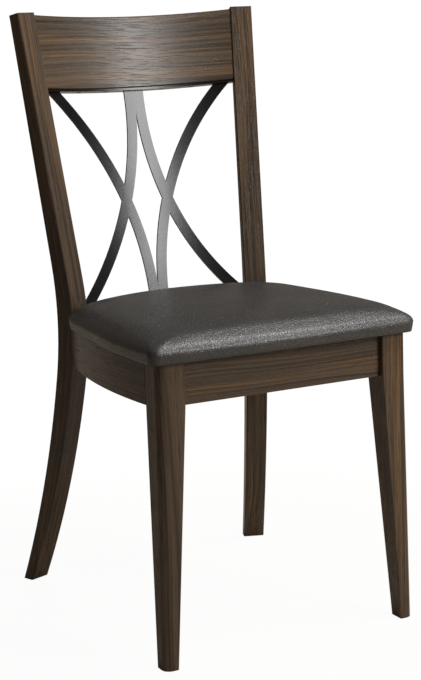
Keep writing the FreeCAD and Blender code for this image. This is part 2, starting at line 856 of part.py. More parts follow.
def make_front_block():
    """A bar across the corner; its ends are cut to the aprons' inner faces."""
    reach = size("block_reach")
    deep = size("block_depth") * math.sqrt(2)
    corner = Vector(side_inner_x(front_inner_y + reach), front_inner_y, 0)
    spare = size("side_apron_thickness") / 2
    points = [
        (corner.x - reach - spare, corner.y - spare),
        (corner.x - reach - deep - spare, corner.y - spare),
        (corner.x + spare, corner.y + reach + deep + spare),
        (corner.x + spare, corner.y + reach + spare),
    ]
    return from_shape("front_block_bar", prism(points, block_bottom, size("block_height")))


def make_rear_block():
    reach = size("block_reach")
    deep = size("block_depth") * math.sqrt(2)
    spare = size("side_apron_thickness") / 2
    corner_y = rear_inner_y(side_inner_x(rear_apron_end.y) - reach)
    corner_x = side_inner_x(corner_y - reach)
    points = [
        (corner_x - reach - spare, corner_y + spare),
        (corner_x - reach - deep - spare, corner_y + spare),
        (corner_x + spare, corner_y - reach - deep - spare),
        (corner_x + spare, corner_y - reach - spare),
    ]
    return from_shape("rear_block_bar", prism(points, block_bottom, size("block_height")))


front_block = cut(
    "front_block_fitted",
    cut("front_block_at_side", make_front_block(), side_apron_blank),
    front_apron_blank,
)
rear_block = cut(
    "rear_block_fitted",
    cut("rear_block_at_side", make_rear_block(), side_apron_blank),
    rear_apron_blank,
)
doc.recompute()

# Dowels: fluted pins across each joint of the frame, a little loose in their bores. The flats
# of a pin and of its bore lie alike, so the clearance is even all round.

DOWEL_FLATS = 8

post_normal = Vector(math.cos(turn), -math.sin(turn), 0)


def dowel_and_bore(name, middle, direction):
    """A dowel centred on a joint, and the longer and wider bore that it lies in."""
    direction = Vector(direction).normalize()
    pin = bare_prism(
        name, DOWEL_FLATS, "{dowel_radius}", "{dowel_length}",
        middle - direction * (size("dowel_length") / 2), direction,
    )
    bore = bare_prism(
        name + "_bore", DOWEL_FLATS,
        "{dowel_radius} + {bore_clearance}", "{dowel_length} + 2 * {bore_end_room}",
        middle - direction * (size("dowel_length") / 2 + size("bore_end_room")), direction,
    )
    return pin, bore


def dowel_set(name, middles, direction):
    """The dowels of one joint on the right-hand side, with their bores."""
    pairs = [
        dowel_and_bore("%s_%d" % (name, number), middle, direction)
        for number, middle in enumerate(middles, start=1)
    ]
    pins = joined(name + "_pins", [pin for pin, _ in pairs])
    bores = joined(name + "_bores", [bore for _, bore in pairs])
    return pins, bores


crest_end_middle = post_front(crest_end_height) + size("crest_set_back") + size("crest_thickness") / 2
crest_joint_levels = [
    crest_end_height + size("crest_height") * share * math.cos(crest_lean) for share in (0.25, 0.75)
]
crest_pins, crest_bores = dowel_set(
    "crest_joint",
    [
        on_post(0, crest_end_middle + (level - crest_end_height) * math.tan(lean), level)
        for level in crest_joint_levels
    ],
    post_normal,
)
rear_pins, rear_bores = dowel_set(
    "rear_joint",
    [
        on_post(0, rear_apron_front + size("rear_apron_thickness") / 2,
                apron_bottom + size("apron_height") * share)
        for share in (0.4, 0.85)
    ],
    post_normal,
)
front_joint_y = leg_front_y + size("front_apron_set_back") + size("front_apron_thickness") / 2
front_pins, front_bores = dowel_set(
    "front_joint",
    [
        Vector(leg_inner_x, front_joint_y, apron_bottom + size("apron_height") * share)
        for share in (0.25, 0.75)
    ],
    X_AXIS,
)
side_front_x = leg_outer_x - size("side_apron_thickness") / 2
side_front_pins, side_front_bores = dowel_set(
    "side_front_joint",
    [
        Vector(side_front_x, leg_rear_y, apron_bottom + size("apron_height") * share)
        for share in (0.2, 0.6)
    ],
    Y_AXIS,
)


def side_rear_joint():
    """Where the side apron's end lies against the post, over the outer half of the post's front face."""
    start = on_post(size("post_width") * 0.8, post_front(frame_top), 0)
    spoke = Vector(start.x - side_centre.x, start.y - side_centre.y, 0).normalize()
    along = Vector(-spoke.y, spoke.x, 0)
    return start, along


side_rear_start, side_rear_along = side_rear_joint()
side_rear_pins, side_rear_bores = dowel_set(
    "side_rear_joint",
    [
        Vector(side_rear_start.x, side_rear_start.y, apron_bottom + size("apron_height") * share)
        for share in (0.2, 0.6)
    ],
    side_rear_along,
)


def both_sides(name, source):
    """A set and its mirror image, as one object."""
    return joined(name, [source, mirrored(name + "_mirrored", source)])


crest_bores_both = both_sides("crest_bores_both", crest_bores)
rear_bores_both = both_sides("rear_bores_both", rear_bores)
front_bores_both = both_sides("front_bores_both", front_bores)
part(both_sides("crest_pins_both", crest_pins), "crest_dowels")
part(both_sides("rear_pins_both", rear_pins), "rear_apron_dowels")
part(both_sides("front_pins_both", front_pins), "front_apron_dowels")
part(both_sides("side_front_pins_both", side_front_pins), "side_apron_front_dowels")
part(both_sides("side_rear_pins_both", side_rear_pins), "side_apron_rear_dowels")

# Screws: a shank with a low flat head. Each set comes with its bores.

SHANK_FLATS = 8
HEAD_FLATS = 12


def screw_and_bore(name, seat, direction, reach, sunk):
    """A screw whose head's underside lies at the seat, with its bore; a sunk head gets a pocket."""
    direction = Vector(direction).normalize()
    back = direction * -1
    shank = bare_prism(name + "_shank", SHANK_FLATS, "{screw_radius}", number(reach), seat, direction)
    head = bare_prism(
        name + "_head", HEAD_FLATS, "{screw_head_radius}", "{screw_head_height}", seat, back
    )
    screw = fused(name, [shank, head])
    hole = bare_prism(
        name + "_hole", SHANK_FLATS, "{screw_radius} + {screw_clearance}",
        "%s + {bore_end_room}" % number(reach), seat, direction,
    )
    if not sunk:
        return screw, hole
    pocket = bare_prism(
        name + "_pocket", HEAD_FLATS, "{screw_head_radius} + 2 * {screw_clearance}",
        "{block_reach}", seat, back,
    )
    return screw, fused(name + "_sunk_hole", [hole, pocket])


def screw_set(name, places, reach, sunk=False):
    pairs = [
        screw_and_bore("%s_%d" % (name, count), seat, direction, reach, sunk)
        for count, (seat, direction) in enumerate(places, start=1)
    ]
    screws = joined(name + "_screws", [screw for screw, _ in pairs])
    bores = joined(name + "_holes", [bore for _, bore in pairs])
    return screws, bores


# The insert's screws are sunk flush into its bars.

insert_screw_acrosses = (-105.0, -52.0, 52.0, 105.0)
top_screw_seat = insert_top + size("screw_head_height")
top_screw_places = [
    (in_crest(across, insert_through(across), top_screw_seat), crest_up)
    for across in insert_screw_acrosses
]
insert_reach = size("insert_screw_bite") + size("flat_bar_thickness") - size("screw_head_height")
top_screws, top_holes = screw_set("insert_top", top_screw_places, insert_reach, sunk=True)
part(top_screws, "insert_top_screws")


def foot_bar_y(across):
    """The bottom bar's middle line, in plan."""
    return foot_middle_y - foot_radius + math.sqrt(foot_radius**2 - across**2)


foot_screw_seat = foot_bar_top - size("screw_head_height")
foot_screw_places = [
    (Vector(across, foot_bar_y(across), foot_screw_seat), Z_AXIS * -1)
    for across in insert_screw_acrosses
]
foot_screws, foot_holes = screw_set("insert_foot", foot_screw_places, insert_reach, sunk=True)
part(foot_screws, "insert_bottom_screws")

# Block screws run square into each apron, from a pocket in the block's sloping face.

block_end = size("block_reach") + size("block_depth") * math.sqrt(2) * 0.4
block_screw_reach = size("block_screw_hold") + size("block_screw_bite")
front_corner_x = side_inner_x(front_inner_y + size("block_reach"))
front_side_y = front_inner_y + block_end
rear_corner_y = rear_inner_y(side_inner_x(rear_apron_end.y) - size("block_reach"))
rear_corner_x = side_inner_x(rear_corner_y - size("block_reach"))
rear_side_y = rear_corner_y - block_end
rear_screw_x = rear_corner_x - block_end
hold_back = size("block_screw_hold")
block_screw_places = [
    (Vector(side_inner_x(front_side_y) - hold_back, front_side_y, block_middle), X_AXIS),
    (Vector(front_corner_x - block_end, front_inner_y + hold_back, block_middle), Y_AXIS * -1),
    (Vector(side_inner_x(rear_side_y) - hold_back, rear_side_y, block_middle), X_AXIS),
    (Vector(rear_screw_x, rear_inner_y(rear_screw_x) - hold_back, block_middle), Y_AXIS),
]
block_screws, block_holes = screw_set("block", block_screw_places, block_screw_reach, sunk=True)
block_holes_both = both_sides("block_holes_both", block_holes)
part(both_sides("block_screws_both", block_screws), "corner_block_screws")

# Seat screws run up through the blocks into the seat's board.

board_bottom = frame_top + size("seat_bottom_gap") + size("cover_thickness") + size("soft_gap")
seat_screw_reach = board_bottom + size("seat_screw_bite") - block_bottom
halfway = (size("block_reach") + size("block_depth") / math.sqrt(2)) / 2
seat_screw_places = [
    (Vector(front_corner_x - halfway, front_inner_y + halfway, block_bottom), Z_AXIS),
    (Vector(rear_corner_x - halfway, rear_corner_y - halfway, block_bottom), Z_AXIS),
]
seat_screws, seat_holes = screw_set("seat_fixing", seat_screw_places, seat_screw_reach)
seat_holes_both = both_sides("seat_holes_both", seat_holes)
part(both_sides("seat_screws_both", seat_screws), "seat_screws")

# Frame pieces with their bores


def drilled(name, base, *bores):
    return cut(name + "_drilled", base, joined(name + "_all_bores", list(bores)))


post_drilled = drilled("post", post, crest_bores, rear_bores, side_rear_bores)
part(post_drilled, "back_post_right")
part(mirrored("post_mirrored", post_drilled), "back_post_left")
part(drilled("crest", crest_blank, crest_bores_both, top_holes), "crest_rail")
part(drilled("insert_top", top_bar, top_holes), "insert_top_bar")
part(drilled("insert_bottom", foot_bar, foot_holes), "insert_bottom_bar")
leg_drilled = drilled("leg", leg_blank, front_bores, side_front_bores)
part(leg_drilled, "front_leg_right")
part(mirrored("leg_mirrored", leg_drilled), "front_leg_left")
part(drilled("front_apron", front_apron_blank, front_bores_both, block_holes_both), "front_apron")
side_drilled = drilled("side_apron", side_apron_blank, side_front_bores, side_rear_bores, block_holes)
part(side_drilled, "side_apron_right")
part(mirrored("side_apron_mirrored", side_drilled), "side_apron_left")
part(drilled("rear_apron", rear_apron_blank, rear_bores_both, block_holes_both, foot_holes), "rear_apron")
front_block_drilled = drilled("front_block", front_block, block_holes, seat_holes)
part(front_block_drilled, "corner_block_front_right")
part(mirrored("front_block_mirrored", front_block_drilled), "corner_block_front_left")
rear_block_drilled = drilled("rear_block", rear_block, block_holes, seat_holes)
part(rear_block_drilled, "corner_block_rear_right")
part(mirrored("rear_block_mirrored", rear_block_drilled), "corner_block_rear_left")

# Seat pad. Its outline is made of straight runs and tangent arcs, and its forms are lofts
# through that outline at rising levels, drawn in towards the crown.

seat_bottom = frame_top + size("seat_bottom_gap")
seat_front_y = leg_front_y - size("seat_front_overhang")
seat_rear_point = on_post(size("post_width"), post_front(frame_top) - size("seat_rear_gap"), 0)
ARC_SHARE = 0.98


def seat_corners(inset):
    """Corners of the pad's plan before rounding, drawn in by an inset, from the right rear corner round.

    The rear edge runs along the posts' front faces and bows rearwards between them.
    """
    wide = size("seat_half_width") - inset
    front = seat_front_y + inset
    knee = seat_front_y + size("seat_straight_front") + inset * 0.75
    side = front + size("seat_front_bow") * wide / size("seat_half_width")
    taper = (size("seat_half_width") - size("seat_rear_half_width")) / (
        seat_rear_point.y - seat_front_y - size("seat_straight_front")
    )
    fall = math.tan(turn)
    rear_line = seat_rear_point.y - inset / math.cos(turn) + seat_rear_point.x * fall
    rear = (rear_line - (wide + taper * knee) * fall) / (1 - taper * fall)
    narrow = wide - taper * (rear - knee)
    right = [(narrow, rear), (wide, knee), (wide, side)]
    left = [(-x, y) for x, y in reversed(right)]
    return right + [(0.0, front)] + left + [(0.0, rear_line)]


def seat_radii(inset):
    rear = max(size("seat_rear_corner") - inset, size("seat_rear_corner") * 0.6)
    front = max(size("seat_front_corner") - inset, size("seat_front_corner") * 0.6)
    side = size("seat_side_radius") - inset
    bow = size("seat_front_radius") - inset
    share = 1 - inset / size("seat_rear_half_width")
    return [rear, side, front, bow, front, side, rear, size("seat_rear_radius") * share]


def rounded_outline(corners, radii, level):
    """A closed wire of straight runs joined by tangent arcs, each held within its two runs."""
    count = len(corners)
    points = [Vector(x, y, level) for x, y in corners]
    runs = [points[(i + 1) % count] - points[i] for i in range(count)]
    half_angles = [(runs[i - 1] * -1).getAngle(runs[i]) / 2 for i in range(count)]
    reaches = [radius / math.tan(half) for radius, half in zip(radii, half_angles)]
    rooms = [ARC_SHARE * runs[i].Length / (reaches[i] + reaches[(i + 1) % count]) for i in range(count)]
    starts = []
    ends = []
    middles = []
    for i, half in enumerate(half_angles):
        reach = reaches[i] * min(1.0, rooms[i - 1], rooms[i])
        radius = reach * math.tan(half)
        before = (runs[i - 1] * -1).normalize()
        after = Vector(runs[i]).normalize()
        inwards = (before + after).normalize()
        centre = points[i] + inwards * (radius / math.sin(half))
        starts.append(points[i] + before * reach)
        ends.append(points[i] + after * reach)
        middles.append(centre - inwards * radius)
    edges = []
    for i in range(count):
        edges.append(Part.Arc(starts[i], middles[i], ends[i]).toShape())
        edges.append(Part.makeLine(ends[i], starts[(i + 1) % count]))
    return Part.Wire(edges)


def seat_section(inset, level):
    return rounded_outline(seat_corners(inset), seat_radii(inset), level)


# Each step of the pad's profile: how far it is drawn in, and its share of the height above the band.
CROWN = [(0.0, 0.0), (5.0, 0.38), (18.0, 0.74), (72.0, 1.0)]
INNER_CROWN = CROWN[:1] + CROWN[2:]


def seat_form(inset, bottom, top, crown):
    """A pad drawn in by an inset all round, between two levels."""
    band_top = seat_bottom + size("seat_band_height") - inset / 2
    under = size("seat_bottom_inset")
    sections = [
        seat_section(inset + under, bottom),
        seat_section(inset + under * 0.2, (bottom + band_top) / 2),
    ]
    for draw, share in crown:
        sections.append(seat_section(inset + draw, band_top + (top - band_top) * share))
    return Part.makeLoft(sections, True, True)


def flat_form(inset, bottom, thickness):
    """A flat sheet with the pad's outline, drawn in by an inset."""
    face = Part.Face(seat_section(inset, bottom))
    return face.extrude(Vector(0, 0, thickness))


cover = size("cover_thickness")
soft_gap = size("soft_gap")
seat_top = seat_bottom + size("seat_thickness")
opening_inset = size("seat_bottom_inset") + size("cover_turn_under")
outer_form = from_shape("seat_outer_form", seat_form(0.0, seat_bottom, seat_top, CROWN))
inner_form = from_shape(
    "seat_inner_form", seat_form(cover, seat_bottom + cover, seat_top - cover, INNER_CROWN)
)
under_opening = from_shape("seat_under_opening", flat_form(opening_inset, seat_bottom - 1, cover + 2))
cover_wall = cut("seat_cover_wall", outer_form, inner_form)
part(cut("seat_cover_open", cover_wall, under_opening), "seat_cover")

board_inset = size("seat_bottom_inset") + cover + soft_gap
board_blank = from_shape("seat_board_blank", flat_form(board_inset, board_bottom, size("board_thickness")))
part(drilled("seat_board", board_blank, seat_holes_both), "seat_board")

foam_bottom = board_bottom + size("board_thickness") + soft_gap
foam_inset = cover + soft_gap
foam_form = from_shape(
    "seat_foam_form", seat_form(foam_inset, seat_bottom + foam_inset, seat_top - foam_inset, INNER_CROWN)
)
foam_room = from_shape(
    "seat_foam_room",
    Part.makeBox(TALL, TALL, TALL, Vector(-TALL / 2, -TALL / 2, foam_bottom)),
)
part(common("seat_foam_cut", foam_form, foam_room), "seat_foam")

dust_inset = opening_inset + size("dust_cover_gap")
dust_bottom = board_bottom - soft_gap - size("dust_cover_thickness")
dust_blank = from_shape("dust_cover_blank", flat_form(dust_inset, dust_bottom, size("dust_cover_thickness")))
part(drilled("dust_cover", dust_blank, seat_holes_both), "seat_dust_cover")

# Checks and files

doc.recompute()
for thing in doc.Objects:
    if "Invalid" in thing.State or "Error" in thing.State:
        raise RuntimeError("%s did not build: %s" % (thing.Name, thing.State))
labels = [thing.Label for thing in PARTS]
if len(set(labels)) != len(labels):
    raise RuntimeError("two pieces share a name")
for thing in PARTS:
    if thing.Shape.isNull() or not thing.Shape.isValid() or not thing.Shape.Solids:
        raise RuntimeError("%s is not a sound solid" % thing.Label)

os.makedirs("parts", exist_ok=True)
for thing in PARTS:
    thing.Shape.exportStep("parts/%s.step" % thing.Label)
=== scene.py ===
# %% [markdown]
# A wooden side chair: dark stained frame, a curved black metal pattern in the back, a padded leather seat.
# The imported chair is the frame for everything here. It fixes each piece's place and size, in metres,
# and this script gives those pieces their finishes and adds the soft and small ones.

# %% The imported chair
import math

import bmesh
import bpy
import numpy as np
from mathutils import Matrix, Vector


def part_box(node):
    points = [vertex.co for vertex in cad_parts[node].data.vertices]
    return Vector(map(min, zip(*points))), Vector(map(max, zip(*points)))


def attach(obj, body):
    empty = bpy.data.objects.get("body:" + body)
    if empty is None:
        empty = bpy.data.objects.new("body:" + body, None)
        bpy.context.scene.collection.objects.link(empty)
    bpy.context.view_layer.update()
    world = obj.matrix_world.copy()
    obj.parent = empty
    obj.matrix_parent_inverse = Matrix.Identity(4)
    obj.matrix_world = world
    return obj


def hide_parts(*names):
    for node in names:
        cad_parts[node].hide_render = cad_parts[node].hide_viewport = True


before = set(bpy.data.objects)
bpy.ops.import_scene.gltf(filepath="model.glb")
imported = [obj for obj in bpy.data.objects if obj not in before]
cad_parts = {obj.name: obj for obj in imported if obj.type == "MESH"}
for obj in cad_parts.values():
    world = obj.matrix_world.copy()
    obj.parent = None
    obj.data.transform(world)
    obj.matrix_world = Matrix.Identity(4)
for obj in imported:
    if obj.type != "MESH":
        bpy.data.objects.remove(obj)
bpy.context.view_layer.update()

MM = 0.001

# %% [markdown]
# A finish is a small graph of nodes, and most of it is arithmetic on patterns. Adding the nodes one by
# one hides the sums, so one small class wraps a socket and lets Python's own operators add the nodes.
# Colours take another path, through Mix nodes, because a Math node would turn them grey.

# %% A socket that can be added, multiplied and compared


class Wire:
    """A value in a finish's node tree."""

    def __init__(self, finish, socket):
        self.finish = finish
        self.socket = socket

    def math(self, operation, first, second=None):
        values = {0: first} if second is None else {0: first, 1: second}
        return self.finish.node("ShaderNodeMath", {"operation": operation}, values)

    def __add__(self, other):
        return self.math("ADD", self, other)

    __radd__ = __add__

    def __mul__(self, other):
        return self.math("MULTIPLY", self, other)

    __rmul__ = __mul__

    def __sub__(self, other):
        return self.math("SUBTRACT", self, other)

    def __rsub__(self, other):
        return self.math("SUBTRACT", other, self)

    def __pow__(self, other):
        return self.math("POWER", self, other)

    def largest(self, other):
        return self.math("MAXIMUM", self, other)

    def between(self, low, high):
        """0 below low, 1 above high and a soft step in between."""
        settings = {"interpolation_type": "SMOOTHSTEP"}
        values = {"Value": self, "From Min": low, "From Max": high}
        return self.finish.node("ShaderNodeMapRange", settings, values)


class Finish:
    """A material under construction."""

    def __init__(self, name):
        self.material = bpy.data.materials.new(name)
        self.material.use_nodes = True
        self.tree = self.material.node_tree
        self.shader = self.tree.nodes["Principled BSDF"]
        self.place = self.node("ShaderNodeTexCoord", out="Object")

    def put(self, socket, value):
        if isinstance(value, Wire):
            self.tree.links.new(value.socket, socket)
        elif isinstance(value, tuple) and len(value) == 3 and socket.type == "RGBA":
            socket.default_value = (*value, 1.0)
        else:
            socket.default_value = value

    def node(self, kind, settings=None, values=None, out=0):
        """Adds one node: its settings first, then the values or links of its sockets."""
        made = self.tree.nodes.new(kind)
        for name, setting in (settings or {}).items():
            setattr(made, name, setting)
        for key, value in (values or {}).items():
            self.put(made.inputs[key], value)
        return Wire(self, made.outputs[out])

    def split(self, vector):
        parted = self.tree.nodes.new("ShaderNodeSeparateXYZ")
        self.put(parted.inputs[0], vector)
        return [Wire(self, parted.outputs[axis]) for axis in range(3)]

    def vector(self, x, y, z):
        return self.node("ShaderNodeCombineXYZ", None, {0: x, 1: y, 2: z})

    def noise(self, vector, scale=1.0, detail=2.0, roughness=0.5):
        """A soft random pattern from 0 to 1, as fine as scale features to the metre."""
        values = {"Vector": vector, "Scale": scale, "Detail": detail, "Roughness": roughness}
        return self.node("ShaderNodeTexNoise", {"noise_dimensions": "3D"}, values)

    def mix(self, factor, first, second):
        """Two colours, mixed."""
        settings = {"data_type": "RGBA", "blend_type": "MIX", "clamp_factor": True}
        return self.node("ShaderNodeMix", settings, {0: factor, 6: first, 7: second}, out=2)

    def bump(self, height, distance, strength):
        """A surface normal that follows a height pattern of that depth in metres."""
        values = {"Height": height, "Distance": distance, "Strength": strength}
        self.put(self.shader.inputs["Normal"], self.node("ShaderNodeBump", None, values))

    def set(self, **sockets):
        """Values of the shader's own sockets; an underscore in a name stands for a space."""
        for name, value in sockets.items():
            self.put(self.shader.inputs[name.replace("_", " ")], value)
        return self.material


print("operators ready")

# %% [markdown]
# The frame is dark stained timber with open pores under a satin lacquer. A picture of wood would have to
# be stretched over every curve and would tile. A solid pattern is better: the colour depends on where a
# point lies in the plank, so faces that meet at an edge agree, as they do in real timber. On this chair
# the grain runs with each member, also where it leans or bends, so each kind of member first gets its own
# directions: along its length, across its face, and through its thickness, all worked out from the
# chair's own axes with a few sums.

# %% Directions of the grain

POST_TURN = math.radians(21.3)
POST_LEAN = 0.1814
POST_LEAN_FROM = 0.475
LEG_SWEEP_FROM = 0.450
LEG_SWEEP = 0.14
LEG_SWEEP_MORE = 0.30
CREST_LEAN = math.radians(11.7)
CREST_BOW = 1.02


def post_grain(x, y, z):
    """The posts are turned in plan, lean back above the seat and sweep back below it."""
    x = x.largest(x * -1)
    across = x * math.cos(POST_TURN) - y * math.sin(POST_TURN)
    through = x * math.sin(POST_TURN) + y * math.cos(POST_TURN)
    above = (z - POST_LEAN_FROM).largest(0.0)
    below = (LEG_SWEEP_FROM - z).largest(0.0)
    return z, across, through - above * POST_LEAN - below * LEG_SWEEP - below * below * LEG_SWEEP_MORE


def crest_grain(x, y, z):
    """The top rail leans back, and is bowed in plan."""
    across = y * math.sin(CREST_LEAN) + z * math.cos(CREST_LEAN)
    through = y * math.cos(CREST_LEAN) - z * math.sin(CREST_LEAN) + x * x * CREST_BOW
    return x, across, through


def leg_grain(x, y, z):
    """The front legs stand upright."""
    return z, x, y


def rail_grain(x, y, z):
    """The front and rear rails lie from side to side."""
    return x, z, y


def side_rail_grain(x, y, z):
    """The side rails lie from front to back."""
    return y, z, x


print("grain directions: 5 kinds of member")

# %% [markdown]
# The pattern itself has four layers, each stretched along the grain: broad bands, fine streaks, a few
# orange-brown streaks where the stain took less, and short dark pores that are also dents. A board is
# cut flat, so its pattern changes slowly through its thickness; a square post shows its lines on both
# faces.

# %% Stained wood

# A layer's numbers: features to the metre along the grain and across it, and the depth of detail.
WANDER = (2.6, 9, 1.0)
BANDS = (1.1, 60, 2.0)
STREAKS = (2.2, 290, 2.0)
PORES = (26, 900, 1.0)
WARM = (2.0, 200, 1.0)
# A step's numbers: below the first the layer counts as nothing, above the second in full.
TONE_STEP = (0.36, 0.64)
WARM_STEP = (0.60, 0.72)
PORE_STEP = (0.56, 0.68)
WANDER_REACH = 0.030
BAND_SHARE = 0.4
WARM_SHARE = 0.5
PORE_SHARE = 0.7
WARM_SEED = 7
STAIN_DEEP = (0.025, 0.0155, 0.0085)
STAIN_LIGHT = (0.088, 0.056, 0.031)
STAIN_ORANGE = (0.185, 0.086, 0.027)
STAIN_PORE = (0.012, 0.008, 0.006)
FLAT_CUT = 0.15
SQUARE_CUT = 0.8


def layer(finish, directions, pattern, seed):
    """Noise that is stretched along the grain."""
    along, side, deep = directions
    per_length, per_width, detail = pattern
    place = finish.vector(along * per_length + seed, side * per_width, deep * per_width)
    return finish.noise(place, detail=detail)


def stained_wood(name, grain, seed, cut):
    """Dark brown timber; cut is how fast the pattern changes through the thickness."""
    finish = Finish(name)
    along, side, deep = grain(*finish.split(finish.place))
    drift = layer(finish, (along, side, deep), WANDER, seed)
    plank = (along, side + (drift - 0.5) * WANDER_REACH, deep * cut + seed)
    bands = layer(finish, plank, BANDS, seed)
    streaks = layer(finish, plank, STREAKS, seed)
    pores = layer(finish, plank, PORES, seed)
    warm = layer(finish, plank, WARM, seed + WARM_SEED)
    tone = bands.between(*TONE_STEP) * BAND_SHARE + streaks.between(*TONE_STEP) * (1 - BAND_SHARE)
    colour = finish.mix(tone, STAIN_DEEP, STAIN_LIGHT)
    colour = finish.mix(warm.between(*WARM_STEP) * WARM_SHARE, colour, STAIN_ORANGE)
    open_pores = pores.between(*PORE_STEP)
    colour = finish.mix(open_pores * PORE_SHARE, colour, STAIN_PORE)
    finish.bump(streaks * 0.35 + (1 - open_pores) * 0.65, 0.0003, 0.45)
    dull = streaks * 0.10 + open_pores * 0.2 + 0.28
    return finish.set(Base_Color=colour, Roughness=dull, Specular_IOR_Level=0.38)


wood_post = stained_wood("stained_wood_post", post_grain, 1.0, SQUARE_CUT)
wood_leg = stained_wood("stained_wood_leg", leg_grain, 2.0, SQUARE_CUT)
wood_crest = stained_wood("stained_wood_crest", crest_grain, 4.0, FLAT_CUT)
wood_rail = stained_wood("stained_wood_rail", rail_grain, 6.0, FLAT_CUT)
wood_side = stained_wood("stained_wood_side", side_rail_grain, 9.0, FLAT_CUT)
print("stained wood: 5 members' finishes")

# %% [markdown]
# Inside the frame the corner blocks, dowels and the seat's board are plain pale wood. They could share
# one brown, but from below the board's plies and the blocks' end grain tell what they are. They use the
# same idea as the stained timber with fewer layers, and the plies are stripes that depend on height.

# %% Plain wood and plywood

PLAIN_BANDS = (2, 60, 3.0)
PLAIN_LINES = (8, 400, 2.0)
BLOCK_PALE = (0.46, 0.32, 0.19)
BLOCK_DEEP = (0.30, 0.19, 0.10)
DOWEL_PALE = (0.58, 0.43, 0.27)
DOWEL_DEEP = (0.44, 0.30, 0.17)
PLY_PALE = (0.56, 0.42, 0.27)
PLY_DEEP = (0.42, 0.29, 0.17)
PLY_GLUE = (0.24, 0.15, 0.08)
PLY_PITCH = 4.8 * MM


def plain_wood(name, pale, deep_tone, seed):
    """Unfinished timber: soft bands and fine lines along the grain."""
    finish = Finish(name)
    plank = rail_grain(*finish.split(finish.place))
    bands = layer(finish, plank, PLAIN_BANDS, seed)
    lines = layer(finish, plank, PLAIN_LINES, seed)
    colour = finish.mix(bands.between(0.35, 0.7) * 0.7 + lines.between(0.5, 0.7) * 0.3, pale, deep_tone)
    finish.bump(lines, 0.0002, 0.4)
    return finish.set(Base_Color=colour, Roughness=0.62)


block_wood = plain_wood("plain_block_wood", BLOCK_PALE, BLOCK_DEEP, 2.0)
dowel_wood = plain_wood("dowel_wood", DOWEL_PALE, DOWEL_DEEP, 5.0)


def plywood(name):
    """Board with its plies as stripes, one dark glue line for each turn of a sine of the height."""
    finish = Finish(name)
    x, y, z = finish.split(finish.place)
    face = finish.noise(finish.vector(x * 3, y * 55, z * 3), detail=3.0)
    plies = finish.node("ShaderNodeMath", {"operation": "SINE"}, {0: z * (2 * math.pi / PLY_PITCH)})
    colour = finish.mix(face.between(0.35, 0.7), PLY_PALE, PLY_DEEP)
    colour = finish.mix(plies.between(0.2, 0.5) * 0.5, colour, PLY_GLUE)
    finish.bump(face, 0.0002, 0.3)
    return finish.set(Base_Color=colour, Roughness=0.6)


ply_board = plywood("plywood_board")
print("plain woods ready")

# %% [markdown]
# The metal pattern is flat steel, cut out and bent, with a black powder coat. The coat is satin and very
# slightly pebbled. On the real chair it looks nearly black at the sides and grey in the middle, where the
# curve faces the light. Painting that shade would look wrong from any other side, so the colour is plain
# black, and the grey is the lamp's own reflection, spread by the roughness. The screws that hold the seat
# and the blocks are zinc plated, which is a metal with a mottled, brushed skin.

# %% Powder coat and zinc

COAT_BLACK = (0.0020, 0.0020, 0.0023)
COAT_WORN = (0.0040, 0.0040, 0.0044)
ZINC_PALE = (0.50, 0.50, 0.50)
ZINC_DARK = (0.36, 0.37, 0.38)


def powder_coat(name):
    """Black satin paint on steel."""
    finish = Finish(name)
    pebbles = finish.noise(finish.place, scale=900.0, detail=2.0)
    wear = finish.noise(finish.place, scale=14.0, detail=3.0)
    finish.bump(pebbles, 0.0001, 0.3)
    colour = finish.mix(wear.between(0.4, 0.7), COAT_BLACK, COAT_WORN)
    return finish.set(Base_Color=colour, Roughness=wear * 0.06 + 0.20, Specular_IOR_Level=0.34)


def zinc_plate(name):
    """Plated steel of the hidden screws."""
    finish = Finish(name)
    mottle = finish.noise(finish.place, scale=260.0, detail=3.0)
    colour = finish.mix(mottle.between(0.4, 0.65), ZINC_PALE, ZINC_DARK)
    finish.bump(mottle, 0.0001, 0.3)
    return finish.set(Base_Color=colour, Metallic=1.0, Roughness=mottle * 0.2 + 0.28)


coat_black = powder_coat("black_powder_coat")
zinc = zinc_plate("zinc_plated_steel")
print("metals ready")

# %% [markdown]
# The seat is covered in charcoal leather with a pebble grain. Leather grain is a net of small raised
# cells with creases between them, which a Voronoi pattern gives directly: the distance to the cell edge
# is low in the creases, and there the colour is darker as painted shade. The cells are bent a little by
# noise, so that they don't look like tiles. Broad soft noise adds the unevenness of a stretched hide, and
# fine pale flecks are where the dye is rubbed. The cloth under the seat is a felt of fine black fibres, so
# it gets noise alone and no gloss.

# %% Leather and cloth

LEATHER = (0.036, 0.0345, 0.033)
LEATHER_WORN = (0.050, 0.048, 0.046)
LEATHER_CREASE_SHADE = (0.016, 0.016, 0.016)
LEATHER_FLECK = (0.105, 0.103, 0.100)
CELLS_PER_METRE = 300.0
CELL_WANDER = (0.003, 0.0022, 0.0015)
FELT_BLACK = (0.012, 0.012, 0.013)
FELT_FIBRE = (0.035, 0.035, 0.037)


